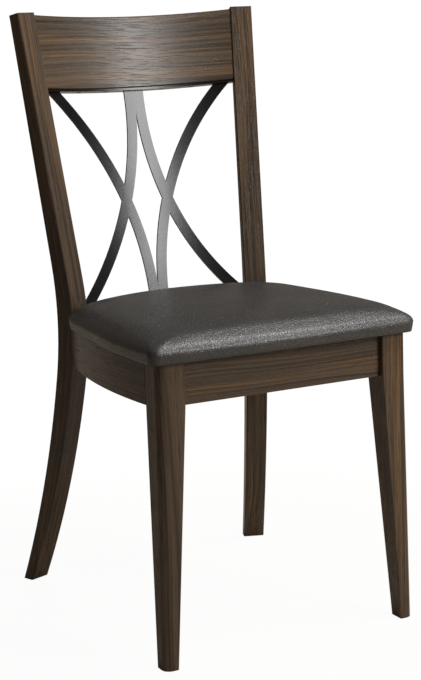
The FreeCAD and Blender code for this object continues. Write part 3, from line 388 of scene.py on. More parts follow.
def leather(name):
    """Charcoal hide with a pebble grain about 2 to 3 mm across."""
    finish = Finish(name)
    wander = finish.noise(finish.place, scale=180.0, detail=2.0)
    shift = finish.vector(*[wander * reach for reach in CELL_WANDER])
    spread = finish.node("ShaderNodeVectorMath", {"operation": "ADD"}, {0: finish.place, 1: shift})
    values = {"Vector": spread, "Scale": CELLS_PER_METRE}
    cells = finish.node("ShaderNodeTexVoronoi", {"feature": "DISTANCE_TO_EDGE"}, values)
    crease = 1 - cells.between(0.02, 0.26)
    broad = finish.noise(finish.place, scale=9.0, detail=3.0)
    fine = finish.noise(finish.place, scale=420.0, detail=3.0)
    colour = finish.mix(broad.between(0.35, 0.7), LEATHER, LEATHER_WORN)
    # Painted shade: the creases between the cells are coloured darker, as if shade fell into them.
    colour = finish.mix(crease * 0.6, colour, LEATHER_CREASE_SHADE)
    colour = finish.mix(fine.between(0.56, 0.72) * 0.4, colour, LEATHER_FLECK)
    finish.bump((1 - crease) * 0.8 + fine * 0.3 + broad * 1.5, 0.0005, 0.50)
    dull = crease * 0.12 + broad * 0.08 + 0.23
    return finish.set(Base_Color=colour, Roughness=dull, Specular_IOR_Level=0.42)


def felted_cloth(name):
    """Black felt with no gloss."""
    finish = Finish(name)
    threads = finish.noise(finish.place, scale=700.0, detail=4.0, roughness=0.7)
    colour = finish.mix(threads.between(0.35, 0.7), FELT_BLACK, FELT_FIBRE)
    finish.bump(threads, 0.0003, 0.6)
    return finish.set(Base_Color=colour, Roughness=0.9, Specular_IOR_Level=0.2)


seat_leather = leather("charcoal_leather")
dust_cloth = felted_cloth("black_dust_cloth")
print("soft finishes ready")

# %% [markdown]
# The frame's own pieces keep their shapes: each node only gets a finish. The stained ones get the finish
# of their own kind of member, whose grain runs along it.

# %% Finishes on the frame's own pieces


def dress(material, *names):
    """Puts one finish on whole nodes of the frame."""
    for name in names:
        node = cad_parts[name]
        node.data.materials.clear()
        node.data.materials.append(material)


dress(wood_post, "back_post_left", "back_post_right")
dress(wood_leg, "front_leg_left", "front_leg_right")
dress(wood_crest, "crest_rail")
dress(wood_rail, "front_apron", "rear_apron")
dress(wood_side, "side_apron_left", "side_apron_right")
dress(coat_black, "insert_lattice", "insert_top_bar", "insert_bottom_bar")
dress(coat_black, "insert_top_screws", "insert_bottom_screws")
dress(zinc, "corner_block_screws", "seat_screws")
for end in ("front", "rear"):
    dress(block_wood, "corner_block_%s_left" % end, "corner_block_%s_right" % end)
dress(dowel_wood, "crest_dowels", "rear_apron_dowels", "front_apron_dowels")
dress(dowel_wood, "side_apron_front_dowels", "side_apron_rear_dowels")
dress(ply_board, "seat_board")
bare = [name for name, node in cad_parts.items() if not node.data.materials]
print("dressed the frame; nodes left bare:", bare)

# %% [markdown]
# The seat pad is foam on a board under stretched leather. Its plan has a bowed front, sides that narrow
# to the rear, and a rear edge that follows the back. Such a plan could be drawn by hand as a curve, but it
# has to shrink evenly towards the crown, so it is worked out: straight runs between a few corners, with
# an arc at each corner, and every length drawn in by an inset. Real leather is drawn smooth over the foam,
# so the arcs at the corners widen towards the crown, and no ridge runs in from a corner.

# %% The pad's plan

SEAT_FRONT = -277.05 * MM
SEAT_REAR_POINT = (180.6 * MM, 115.1 * MM)
SEAT_HALF = 226.5 * MM
SEAT_REAR_HALF = 198.0 * MM
STRAIGHT_FRONT = 150.0 * MM
KNEE_SHIFT = 0.2
FRONT_BOW = 6.0 * MM
REAR_CORNER = 46.0 * MM
FRONT_CORNER = 15.0 * MM
CORNER_GROWTH = 0.4
CORNER_SPREAD = 80.0 * MM
SIDE_RADIUS = 1000.0 * MM
BOW_RADIUS = 2600.0 * MM
REAR_RADIUS = 470.0 * MM
ARC_SHARE = 0.98
ARC_STEPS = 16
ARC_WEIGHT = 34.0 * MM
AROUND = 240


def plan_corners(inset):
    """The pad's corners before they are rounded, from the right rear one round by the front."""
    wide = SEAT_HALF - inset
    front = SEAT_FRONT + inset
    knee = SEAT_FRONT + STRAIGHT_FRONT + inset * KNEE_SHIFT
    side = front + FRONT_BOW * wide / SEAT_HALF
    taper = (SEAT_HALF - SEAT_REAR_HALF) / (SEAT_REAR_POINT[1] - SEAT_FRONT - STRAIGHT_FRONT)
    fall = math.tan(POST_TURN)
    rear_line = SEAT_REAR_POINT[1] - inset / math.cos(POST_TURN) + SEAT_REAR_POINT[0] * fall
    rear = (rear_line - (wide + taper * knee) * fall) / (1 - taper * fall)
    narrow = wide - taper * (rear - knee)
    right = [(narrow, rear), (wide, knee), (wide, side)]
    left = [(-x, y) for x, y in reversed(right)]
    return [Vector(point) for point in right + [(0.0, front)] + left + [(0.0, rear_line)]]


def plan_radii(inset):
    """The radius at each of those corners; the four outer ones grow with the inset."""
    growth = inset * (CORNER_GROWTH + inset / CORNER_SPREAD)
    rear = REAR_CORNER + growth
    front = FRONT_CORNER + growth
    side = SIDE_RADIUS - inset
    share = 1 - inset / SEAT_REAR_HALF
    return [rear, side, front, BOW_RADIUS - inset, front, side, rear, REAR_RADIUS * share]


def plan_ring(inset, count=AROUND):
    """Points on the rounded plan, closer together in its arcs; an arc stays within its two runs."""
    corners = plan_corners(inset)
    total = len(corners)
    runs = [corners[(i + 1) % total] - corners[i] for i in range(total)]
    halves = [(-runs[i - 1]).angle(runs[i]) / 2 for i in range(total)]
    reaches = [radius / math.tan(half) for radius, half in zip(plan_radii(inset), halves)]
    rooms = [ARC_SHARE * run.length / (reaches[i] + reaches[(i + 1) % total]) for i, run in enumerate(runs)]
    points = []
    bends = []
    for i, half in enumerate(halves):
        reach = reaches[i] * min(1.0, rooms[i - 1], rooms[i])
        before = -runs[i - 1].normalized()
        after = runs[i].normalized()
        centre = corners[i] + (before + after).normalized() * (reach * math.tan(half) / math.sin(half))
        spoke = corners[i] + before * reach - centre
        turn = math.pi - 2 * half
        for step in range(ARC_STEPS + 1):
            points.append(centre + spoke @ Matrix.Rotation(turn * step / ARC_STEPS, 2))
            bends.append(turn / ARC_STEPS * (step > 0))
    points.append(points[0])
    bends.append(0.0)
    steps = [(b - a).length + ARC_WEIGHT * bend for a, b, bend in zip(points, points[1:], bends[1:])]
    lengths = np.cumsum([0.0] + steps)
    stations = np.linspace(0.0, lengths[-1], count, endpoint=False)
    return np.stack([np.interp(stations, lengths, values) for values in np.array(points).T], axis=1)


plan = plan_ring(0.0)
print("plan box:", plan.min(axis=0).round(4), plan.max(axis=0).round(4))

# %% [markdown]
# From the side the pad is a path: the leather starts under the board, comes out to the edge, goes up the
# short upright band, rolls over the foam and rises slowly to the crown. A few points of that path are
# enough when a smooth curve is drawn through them. Each point of the curve then becomes one ring of the
# plan, so the net has no sharp triangles and the cloth simulation can run on it directly.

# %% The pad's side path

SEAT_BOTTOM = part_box("seat_cover")[0][2]
FLANGE_EDGE = 21.0
UNDER_EDGE = 3.0
SIDE_PATH = [
    (1.8, 0.3), (0.9, 7.0), (0.3, 13.0), (0.0, 18.5), (1.8, 24.5), (6.6, 30.0), (14.5, 35.2),
    (25.0, 39.6), (42.0, 44.2), (76.0, 48.4), (115.0, 50.2), (150.0, 51.0), (178.0, 51.3),
]
PATH_SPACING = 4.0
PATH_STEPS = 24


def smooth_path(points, spacing):
    """Evenly spaced points on a Catmull-Rom curve through a few given ones."""
    ends = [2 * points[0] - points[1], *points, 2 * points[-1] - points[-2]]
    dense = []
    for a, b, c, d in zip(ends, ends[1:], ends[2:], ends[3:]):
        for share in np.linspace(0.0, 1.0, PATH_STEPS, endpoint=False):
            straight = 2 * b + (c - a) * share
            bent = (2 * a - 5 * b + 4 * c - d) * share**2 + (3 * b - a - 3 * c + d) * share**3
            dense.append((straight + bent) / 2)
    dense = np.array(dense + [points[-1]])
    steps = np.linalg.norm(np.diff(dense, axis=0), axis=1)
    lengths = np.concatenate([[0.0], np.cumsum(steps)])
    stations = np.linspace(0.0, lengths[-1], int(lengths[-1] / spacing) + 1)
    return np.stack([np.interp(stations, lengths, dense[:, axis]) for axis in range(2)], axis=1)


side_path = smooth_path([np.array(point) for point in SIDE_PATH], PATH_SPACING)
print("rings up the pad:", len(side_path))

# %% [markdown]
# The pad's blank is a little smaller than the finished pad above its upright band, because the
# simulation swells it. The band and the turned-under edge have their full size, because the board is hard
# there. The first rings are the turned-under edge, from its raw end outwards.

# %% The pad's blank

SWELL_ROOM = 1.2
SWELL_FROM = 16.0
SWELL_FULL = 32.0
FLANGE = [
    (FLANGE_EDGE, 6.0), (FLANGE_EDGE, 1.0), (20.4, 0.1), (16.0, 0.0), (11.0, 0.0), (UNDER_EDGE, 0.0),
]
CAP_SHARES = (0.8, 0.6, 0.4, 0.2, 0.04)


def new_piece(name, mesh):
    """A finished bmesh as an object at the origin."""
    bmesh.ops.recalc_face_normals(mesh, faces=mesh.faces)
    data = bpy.data.meshes.new(name)
    mesh.to_mesh(data)
    mesh.free()
    thing = bpy.data.objects.new(name, data)
    bpy.context.scene.collection.objects.link(thing)
    return thing


def bridge(mesh, lower, upper):
    """Quads between two rings of equally many points."""
    for i in range(len(lower)):
        after = (i + 1) % len(lower)
        mesh.faces.new((lower[i], lower[after], upper[after], upper[i]))


def pad_blank():
    """Rings of the plan from the turned-under edge to the crown, joined by quads."""
    mesh = bmesh.new()
    rings = []
    for inset, level in [*FLANGE, *side_path]:
        room = SWELL_ROOM * min(1.0, max(0.0, (level - SWELL_FROM) / (SWELL_FULL - SWELL_FROM)))
        points = plan_ring((inset + room) * MM)
        rings.append([mesh.verts.new((x, y, SEAT_BOTTOM + (level - room) * MM)) for x, y in points])
    middle = points.mean(axis=0)
    for share in CAP_SHARES:
        spread = middle + (points - middle) * share
        rings.append([mesh.verts.new((x, y, SEAT_BOTTOM + (level - room) * MM)) for x, y in spread])
    for lower, upper in zip(rings, rings[1:]):
        bridge(mesh, lower, upper)
    mesh.faces.new(rings[-1])
    mesh.faces.new(rings[0])
    return new_piece("seat_pad", mesh)


seat_pad = pad_blank()
print("pad blank:", len(seat_pad.data.vertices), "points")

# %% [markdown]
# Simulations and Geometry Nodes work as modifiers, but a finished piece is a plain mesh. Each piece here
# is turned into one by the same few lines, and points are read and written all at once as an array,
# which is quick and lets them be moved by sums.

# %% Tools for finishing a mesh


def apply_modifiers(thing):
    """Turns an object with modifiers into a plain mesh of its own."""
    graph = bpy.context.evaluated_depsgraph_get()
    baked = bpy.data.meshes.new_from_object(thing.evaluated_get(graph))
    thing.modifiers.clear()
    old = thing.data
    thing.data = baked
    baked.name = thing.name
    if old.users == 0:
        bpy.data.meshes.remove(old)


def read_points(data):
    """A mesh's points as an array, a row for each."""
    flat = np.empty(len(data.vertices) * 3, dtype=np.float64)
    data.vertices.foreach_get("co", flat)
    return flat.reshape(-1, 3)


def write_points(data, points):
    data.vertices.foreach_set("co", points.ravel())
    data.update()


def smooth_shading(thing):
    thing.data.polygons.foreach_set("use_smooth", [True] * len(thing.data.polygons))


print("mesh tools ready")

# %% [markdown]
# Real leather is pulled over foam and stapled under the board. The cloth simulation copies that: the
# turned-under edge and the band are held, and a little inner pressure fills the rest. No point may move
# more than a few millimetres, because foam fills a cover and does not balloon, and the movement dies out
# towards the crown, where stretched leather lies flat. It is also evened out along each ring, because
# thick leather over foam has no small wrinkles. The result is applied, so that no simulation is left.

# %% The pad, filled

HELD_BELOW = SEAT_BOTTOM + 17.0 * MM
MOST_MOVE = 2.2 * MM
NO_MOVE = 1e-9
LAST_FRAME = 20
PRESSURE = 4.0
STIFFNESS = 25.0
CALM_FROM = 15
CALM_RINGS = 14
EVEN_PASSES = 16


def run_cloth(thing, held):
    """Cloth under a little inner pressure; the points in held stay where they are."""
    group = thing.vertex_groups.new(name="held")
    group.add([int(i) for i in np.nonzero(held)[0]], 1.0, "REPLACE")
    cloth = thing.modifiers.new("cloth", "CLOTH")
    cloth.settings.vertex_group_mass = "held"
    cloth.settings.use_pressure = True
    cloth.settings.uniform_pressure_force = PRESSURE
    cloth.settings.effector_weights.gravity = 0.0
    cloth.settings.tension_stiffness = STIFFNESS
    cloth.settings.compression_stiffness = STIFFNESS
    cloth.point_cache.frame_start = 1
    cloth.point_cache.frame_end = LAST_FRAME
    for number in range(1, LAST_FRAME + 1):
        bpy.context.scene.frame_set(number)
    apply_modifiers(thing)
    bpy.context.scene.frame_set(1)


def fill_cover(thing):
    """Swells the blank: calm towards the crown, even along each ring, and never far."""
    rest = read_points(thing.data)
    run_cloth(thing, rest[:, 2] < HELD_BELOW)
    rings = np.arange(len(rest)) // AROUND
    calm = np.clip(1.0 - (rings - CALM_FROM) / CALM_RINGS, 0.0, 1.0)[:, None]
    moved = (read_points(thing.data) - rest) * (calm * calm * (3.0 - 2.0 * calm))
    grid = moved.reshape(-1, AROUND, 3)
    for number in range(EVEN_PASSES):
        grid = (np.roll(grid, 1, axis=1) + 2.0 * grid + np.roll(grid, -1, axis=1)) / 4
    moved = grid.reshape(-1, 3)
    reach = np.linalg.norm(moved, axis=1, keepdims=True)
    limit = MOST_MOVE * np.tanh(reach / MOST_MOVE) / np.maximum(reach, NO_MOVE)
    write_points(thing.data, rest + moved * limit)
    return float(reach.max())


farthest = fill_cover(seat_pad)
print("the farthest point would have moved", round(farthest / MM, 1), "mm")

# %% [markdown]
# The net is fine enough to be shaded smooth as it is. The underside stays at the board's level, so
# nothing of the pad sinks into the rails that carry it.

# %% The pad, finished


def finish_pad(thing):
    """Keeps the underside level, and gives the pad its leather."""
    points = read_points(thing.data)
    points[:, 2] = np.maximum(points[:, 2], SEAT_BOTTOM)
    write_points(thing.data, points)
    smooth_shading(thing)
    thing.data.materials.clear()
    thing.data.materials.append(seat_leather)
    return points


pad_points = finish_pad(seat_pad)
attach(seat_pad, "root")
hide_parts("seat_cover", "seat_foam")
print("pad box:", pad_points.min(axis=0).round(4), pad_points.max(axis=0).round(4))

# %% [markdown]
# Under the seat a thin black cloth is stapled to the board, to keep dust out. It is one flat sheet with a
# slightly slack middle. A simulation would show nothing more, because only its own weight pulls on it, so
# rings of the pad's plan are lowered by a product of two waves and given a thin wall.

# %% The dust cloth

DUST_INSET = 24.0 * MM
DUST_WALL = 0.3 * MM
DUST_AROUND = 120
DUST_SHARES = [1.0, 0.97, 0.9, 0.8, 0.66, 0.5, 0.33, 0.16]
WAVE_ACROSS = (60, 1.3)
WAVE_ALONG = (47, 0.4)
SAG_MIDDLE = 0.3
SAG_WAVES = 0.4
DUST_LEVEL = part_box("seat_dust_cover")[1][2] - 0.1 * MM


def dust_sheet():
    """A sheet with the pad's plan, inside the turned-under leather, and its flat size and area."""
    rim = plan_ring(DUST_INSET, DUST_AROUND)
    middle = rim.mean(axis=0)
    mesh = bmesh.new()
    rings = []
    for share in DUST_SHARES:
        spread = middle + (rim - middle) * share
        across = np.sin(spread[:, 0] * WAVE_ACROSS[0] + WAVE_ACROSS[1])
        along = np.cos(spread[:, 1] * WAVE_ALONG[0] + WAVE_ALONG[1])
        wave = across * along * 0.5 + 0.5
        sag = (SAG_MIDDLE * (1 - share) + SAG_WAVES * wave * (1 - share**6)) * MM
        rings.append([mesh.verts.new((x, y, DUST_LEVEL - drop)) for (x, y), drop in zip(spread, sag)])
    for outer, inner in zip(rings, rings[1:]):
        bridge(mesh, outer, inner)
    mesh.faces.new(rings[-1])
    sheet = new_piece("dust_cloth", mesh)
    area = sum(face.area for face in sheet.data.polygons)
    wall = sheet.modifiers.new("wall", "SOLIDIFY")
    wall.thickness = DUST_WALL
    wall.offset = 0.0
    apply_modifiers(sheet)
    smooth_shading(sheet)
    sheet.data.materials.append(dust_cloth)
    return sheet, rim.max(axis=0) - rim.min(axis=0), area


dust, dust_size, dust_area = dust_sheet()
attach(dust, "root")
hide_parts("seat_dust_cover")
print("dust cloth:", dust_size.round(3), "m, area", round(dust_area, 4))

# %% [markdown]
# What repeats is made by Geometry Nodes: a tree of nodes that builds one thing and sets it along a path or
# on a set of points. The trees are written here as code. A small class keeps that short: it opens a tree
# with named inputs, adds nodes, ends the tree with real geometry and a finish, and runs it on a mesh.

# %% Geometry trees


class Recipe:
    """A Geometry Nodes tree with named inputs."""

    def __init__(self, name, **inputs):
        self.tree = bpy.data.node_groups.new(name, "GeometryNodeTree")
        self.tree.interface.new_socket("Shape", in_out="INPUT", socket_type="NodeSocketGeometry")
        self.tree.interface.new_socket("Shape", in_out="OUTPUT", socket_type="NodeSocketGeometry")
        made = {
            label: self.tree.interface.new_socket(label, in_out="INPUT", socket_type=kind)
            for label, kind in inputs.items()
        }
        self.keys = {label: socket.identifier for label, socket in made.items()}
        self.start = self.tree.nodes.new("NodeGroupInput")
        self.end = self.tree.nodes.new("NodeGroupOutput")

    def given(self, label):
        return self.start.outputs[label]

    def node(self, kind, settings=None, values=None, out=0):
        """Adds one node: its settings first, then the values or links of its sockets."""
        made = self.tree.nodes.new(kind)
        for name, setting in (settings or {}).items():
            setattr(made, name, setting)
        for key, value in (values or {}).items():
            if isinstance(value, bpy.types.NodeSocket):
                self.tree.links.new(value, made.inputs[key])
            else:
                made.inputs[key].default_value = value
        return made.outputs[out]

    def math(self, operation, first, second=0.0):
        return self.node("ShaderNodeMath", {"operation": operation}, {0: first, 1: second})

    def close(self, shape):
        """Ends the tree with real geometry in one finish."""
        real = self.node("GeometryNodeRealizeInstances", None, {0: shape})
        values = {"Geometry": real, "Material": self.given("Finish")}
        self.tree.links.new(self.node("GeometryNodeSetMaterial", None, values), self.end.inputs[0])

    def run(self, name, source, **values):
        """A plain mesh piece, made by the tree from a mesh."""
        thing = bpy.data.objects.new(name, source)
        bpy.context.scene.collection.objects.link(thing)
        maker = thing.modifiers.new("maker", "NODES")
        maker.node_group = self.tree
        for label, value in values.items():
            maker[self.keys[label]] = value
        apply_modifiers(thing)
        return thing


print("geometry trees ready")

# %% [markdown]
# Staples hold the leather and the dust cloth to the board, one every few centimetres. One staple is four
# points in a row: the outer two are lifted to be the ends of the legs. The corners are rounded and the
# wire's flat section is swept along them. The tree then follows the pad's outline, sets a staple at even
# steps, turns each one along the edge, and gives each a small random turn, as a hand-held tool does.

# %% Staples under the seat

STAPLE_STEP = 24.0 * MM
STAPLE_CROWN = 10.0 * MM
STAPLE_LEG = 6.0 * MM
WIRE_WIDE = 0.9 * MM
WIRE_THICK = 0.24 * MM
STAPLE_POINTS = 4
STAPLE_TURN = 0.12
STAPLE_SEED = 5
LEATHER_STAPLES_IN = 14.0 * MM
CLOTH_STAPLES_IN = 29.0 * MM


def staple_recipe():
    """Points 0 and 3 are the ends of the legs; points 1 and 2 are the ends of the crown."""
    length = "NodeSocketFloat"
    recipe = Recipe("staples", Step=length, Crown=length, Leg=length, Finish="NodeSocketMaterial")
    index = recipe.node("GeometryNodeInputIndex")
    middle = (STAPLE_POINTS - 1) / 2
    side = recipe.math("SUBTRACT", recipe.math("GREATER_THAN", index, middle), 0.5)
    off_middle = recipe.math("ABSOLUTE", recipe.math("SUBTRACT", index, middle))
    tip = recipe.math("GREATER_THAN", off_middle, 1.0)
    across = recipe.math("MULTIPLY", side, recipe.given("Crown"))
    up = recipe.math("MULTIPLY", tip, recipe.given("Leg"))
    bend = recipe.node("ShaderNodeCombineXYZ", None, {0: across, 1: 0.0, 2: up})
    row = recipe.node("GeometryNodeMeshLine", None, {"Count": STAPLE_POINTS})
    bent = recipe.node("GeometryNodeSetPosition", None, {"Geometry": row, "Position": bend})
    line = recipe.node("GeometryNodeMeshToCurve", None, {0: bent})
    rounded = recipe.node("GeometryNodeFilletCurve", None, {"Curve": line, "Radius": WIRE_THICK * 2})
    values = {"Width": WIRE_THICK, "Height": WIRE_WIDE}
    section = recipe.node("GeometryNodeCurvePrimitiveQuadrilateral", None, values)
    values = {"Curve": rounded, "Profile Curve": section, "Fill Caps": True}
    staple = recipe.node("GeometryNodeCurveToMesh", None, values)
    path = recipe.node("GeometryNodeMeshToCurve", None, {0: recipe.given("Shape")})
    values = {"Curve": path, "Length": recipe.given("Step")}
    steps = recipe.node("GeometryNodeResampleCurve", {"mode": "LENGTH"}, values)
    tangent = recipe.node("GeometryNodeInputTangent")
    along = recipe.node("FunctionNodeAlignRotationToVector", {"axis": "X"}, {"Vector": tangent})
    values = {"Min": -STAPLE_TURN, "Max": STAPLE_TURN, "Seed": STAPLE_SEED}
    slip = recipe.node("FunctionNodeRandomValue", {"data_type": "FLOAT"}, values, out="Value")
    turn = recipe.node("FunctionNodeAxisAngleToRotation", None, {"Axis": (0.0, 0.0, 1.0), "Angle": slip})
    turned = recipe.node("FunctionNodeRotateRotation", None, {0: along, 1: turn})
    values = {"Points": steps, "Instance": staple, "Rotation": turned}
    recipe.close(recipe.node("GeometryNodeInstanceOnPoints", None, values))
    return recipe


def loop_mesh(name, points, level):
    """A closed line of edges at one height."""
    data = bpy.data.meshes.new(name)
    count = len(points)
    edges = [(i, (i + 1) % count) for i in range(count)]
    data.from_pydata([(x, y, level) for x, y in points], edges, [])
    return data


staples = staple_recipe()
leather_level = SEAT_BOTTOM - WIRE_THICK / 2
cloth_level = DUST_LEVEL - (DUST_WALL + WIRE_THICK) / 2
leather_line = loop_mesh("leather_line", plan_ring(LEATHER_STAPLES_IN), leather_level)
cloth_line = loop_mesh("cloth_line", plan_ring(CLOTH_STAPLES_IN), cloth_level)
for name, line in (("leather_staples", leather_line), ("cloth_staples", cloth_line)):
    row = staples.run(name, line, Step=STAPLE_STEP, Crown=STAPLE_CROWN, Leg=STAPLE_LEG, Finish=zinc)
    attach(row, "root")
    print(name, len(row.data.polygons), "faces")

# %% [markdown]
# The chair's screws are plain pegs in the frame. A real one has a domed head with a cross recess, and it
# shows wherever the chair is turned over. One screw is drawn as rings round its axis, and the cross is
# pressed into the rings of its head by a rule. A tree sets a copy on each seat, turned the way that the
# frame's own screw looks, which is read from the frame's mesh: its axis, and which end is wider.

# %% Screws

HEAD_RADIUS = 3.8 * MM
HEAD_DOME = 0.45 * MM
HEAD_HEIGHT = 2.6 * MM
SHANK_RADIUS = 2.0 * MM
POINT_LENGTH = 4.0 * MM
POINT_RADIUS = 0.2 * MM
CROSS_DEPTH = 1.3 * MM
CROSS_REACH = 2.1 * MM
CROSS_HALF = 0.5 * MM
CROSS_SLOPE = 0.25 * MM
SCREW_SIDES = 40
FACE_RINGS = 12
WELD = 0.001 * MM
END_DEPTH = 0.01 * MM


def arm(along, across):
    """1 inside one arm of the cross, 0 outside, with sloping walls."""
    inside = min(CROSS_REACH - abs(along), CROSS_HALF - abs(across)) / CROSS_SLOPE
    return min(1.0, max(0.0, inside + 0.5))


def screw(name, length):
    """One screw with the middle of its head at the origin, looking up."""
    mesh = bmesh.new()
    spokes = [math.tau * i / SCREW_SIDES for i in range(SCREW_SIDES)]
    rings = []
    for i in range(1, FACE_RINGS + 1):
        radius = HEAD_RADIUS * i / FACE_RINGS
        ring = []
        for angle in spokes:
            x, y = radius * math.cos(angle), radius * math.sin(angle)
            pressed = CROSS_DEPTH * max(arm(x, y), arm(y, x))
            ring.append(mesh.verts.new((x, y, -HEAD_DOME * (i / FACE_RINGS) ** 2 - pressed)))
        rings.append(ring)
    shoulder = [(HEAD_RADIUS, HEAD_HEIGHT), (SHANK_RADIUS, HEAD_HEIGHT)]
    for radius, depth in [*shoulder, (SHANK_RADIUS, length - POINT_LENGTH), (POINT_RADIUS, length)]:
        rings.append([mesh.verts.new((radius * math.cos(a), radius * math.sin(a), -depth)) for a in spokes])
    for upper, lower in zip(rings, rings[1:]):
        bridge(mesh, upper, lower)
    mesh.faces.new(rings[0])
    mesh.faces.new(rings[-1])
    return new_piece(name, mesh)


def frame_screws(node):
    """Each screw of a node: the middle of its head's face, the way it looks, and its length."""
    mesh = bmesh.new()
    mesh.from_mesh(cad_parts[node].data)
    bmesh.ops.remove_doubles(mesh, verts=mesh.verts, dist=WELD)
    left = set(mesh.verts)
    seats = []
    while left:
        island = [left.pop()]
        for vert in island:
            beyond = [edge.other_vert(vert) for edge in vert.link_edges]
            fresh = [other for other in beyond if other in left]
            left.difference_update(fresh)
            island.extend(fresh)
        points = np.array([vert.co[:] for vert in island])
        middle = (points.min(axis=0) + points.max(axis=0)) / 2
        axis = np.linalg.svd(points - points.mean(axis=0))[2][0]
        along = (points - middle) @ axis
        first = points[along > along.max() - END_DEPTH]
        last = points[along < along.min() + END_DEPTH]
        if np.ptp(first, axis=0).max() < np.ptp(last, axis=0).max():
            axis, first = -axis, last
        seats.append((first.mean(axis=0), axis, float(np.ptp(along))))
    mesh.free()
    return sorted(seats, key=lambda seat: tuple(seat[0].round(4)))


def screw_recipe():
    recipe = Recipe("screws", Screw="NodeSocketObject", Finish="NodeSocketMaterial")
    one = recipe.node("GeometryNodeObjectInfo", None, {"Object": recipe.given("Screw")}, out="Geometry")
    settings = {"data_type": "FLOAT_VECTOR"}
    looks = recipe.node("GeometryNodeInputNamedAttribute", settings, {"Name": "looks"}, out="Attribute")
    turned = recipe.node("FunctionNodeAlignRotationToVector", {"axis": "Z"}, {"Vector": looks})
    points = recipe.node("GeometryNodeMeshToPoints", None, {"Mesh": recipe.given("Shape")})
    values = {"Points": points, "Instance": one, "Rotation": turned}
    recipe.close(recipe.node("GeometryNodeInstanceOnPoints", None, values))
    return recipe


screws = screw_recipe()
SCREW_NODES = {
    "insert_top_screws": (coat_black, "metal"),
    "insert_bottom_screws": (coat_black, "metal"),
    "corner_block_screws": (zinc, "screw"),
    "seat_screws": (zinc, "screw"),
}
for node, (finish, slot) in SCREW_NODES.items():
    seats = frame_screws(node)
    data = bpy.data.meshes.new(node + "_seats")
    data.from_pydata([tuple(place) for place, way, length in seats], [], [])
    looks = data.attributes.new("looks", "FLOAT_VECTOR", "POINT")
    looks.data.foreach_set("vector", np.array([way for place, way, length in seats]).ravel())
    pattern = screw("screw_pattern", seats[0][2])
    detailed = screws.run("cross_" + node, data, Screw=pattern, Finish=finish)
    bpy.data.objects.remove(pattern)
    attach(detailed, "root")
    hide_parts(node)
    print(node, len(seats), "screws,", round(seats[0][2] / MM, 1), "mm long")

# %% [markdown]
# The floor is plain and pale. The photograph's background is pure white down to the feet, which a lit
# floor never reaches without too much light on the chair. So the floor has two faces: for the light it is
# matt paint, and to the camera it is mostly a white glow with a thin share of the paint left in, which
# keeps the chair's soft shadow. That share fades out away from the chair, so that the floor meets the
# white world without a line. Reflections get only a small share of the glow: a surface seen at a low
# angle mirrors what is behind it, and a full white there would wash the dark wood out to grey.

# %% The floor

FLOOR_PAINT = (0.42, 0.36, 0.29)
FLOOR_SIZE = 24.0
FLOOR_DROP = -0.3 * MM
PAINT_SHARE = 0.06
FADE_FROM = 0.45
FADE_TO = 1.3
SEEN_WHITE = 1.02
GLOSS_SHARE = 0.04


def seen_directly(tree):
    """1 for rays from the camera or through glass, a share for reflected ones, 0 for the soft light."""
    rays = tree.nodes.new("ShaderNodeLightPath")
    gloss = tree.nodes.new("ShaderNodeMath")
    gloss.operation = "MULTIPLY"
    gloss.inputs[1].default_value = GLOSS_SHARE
    tree.links.new(rays.outputs["Is Glossy Ray"], gloss.inputs[0])
    total = gloss.outputs[0]
    for name in ("Is Camera Ray", "Is Transmission Ray"):
        largest = tree.nodes.new("ShaderNodeMath")
        largest.operation = "MAXIMUM"
        tree.links.new(total, largest.inputs[0])
        tree.links.new(rays.outputs[name], largest.inputs[1])
        total = largest.outputs[0]
    return total


def make_floor():
    """A plane a hair below the feet, so that the two don't share a surface."""
    finish = Finish("pale_floor")
    tree = finish.tree
    finish.set(Base_Color=FLOOR_PAINT, Roughness=0.8, Specular_IOR_Level=0.2)
    glow = tree.nodes.new("ShaderNodeEmission")
    glow.inputs["Strength"].default_value = SEEN_WHITE
    x, y, z = finish.split(finish.place)
    distance = (x * x + y * y) ** 0.5
    paint = (1 - distance.between(FADE_FROM, FADE_TO)) * PAINT_SHARE
    share = (1 - paint) * Wire(finish, seen_directly(tree))
    both = tree.nodes.new("ShaderNodeMixShader")
    finish.put(both.inputs[0], share)
    tree.links.new(finish.shader.outputs[0], both.inputs[1])
    tree.links.new(glow.outputs[0], both.inputs[2])
    tree.links.new(both.outputs[0], tree.nodes["Material Output"].inputs["Surface"])
    bpy.ops.mesh.primitive_plane_add(size=FLOOR_SIZE, location=(0.0, 0.0, FLOOR_DROP))
    floor = bpy.context.object
    floor.name = "floor"
    floor.data.materials.append(finish.material)


make_floor()
print("floor:", FLOOR_SIZE, "m across")

# %% [markdown]
# The light is soft and plain, so that a colour renders about as it is written. The world is white to the
# camera and a dim warm grey for the light, which fills the shadows as a wooden floor and pale walls would.
# A tall box in front and to the right lights the front of the frame, and its reflection is the grey sheen
# in the middle of the metal and of the top rail. A box above lights the seat and draws the bright line
# along the seat's front roll. One behind keeps the back of the chair from going black in other views;
# it is left out of reflections, because a lamp there would lie on the seat as a white sheen.

# %% Light

WORLD_FILL = (0.135, 0.115, 0.092, 1.0)
WORLD_SEEN = (SEEN_WHITE, SEEN_WHITE, SEEN_WHITE, 1.0)


def make_world():
    """White where it is seen, dim and warm where it only gives light."""
    world = bpy.data.worlds.new("studio")
    bpy.context.scene.world = world
    world.use_nodes = True
    tree = world.node_tree
    background = tree.nodes["Background"]
    colour = tree.nodes.new("ShaderNodeMix")
    colour.data_type = "RGBA"
    colour.inputs[6].default_value = WORLD_FILL
    colour.inputs[7].default_value = WORLD_SEEN
    tree.links.new(seen_directly(tree), colour.inputs[0])
    tree.links.new(colour.outputs[2], background.inputs["Color"])


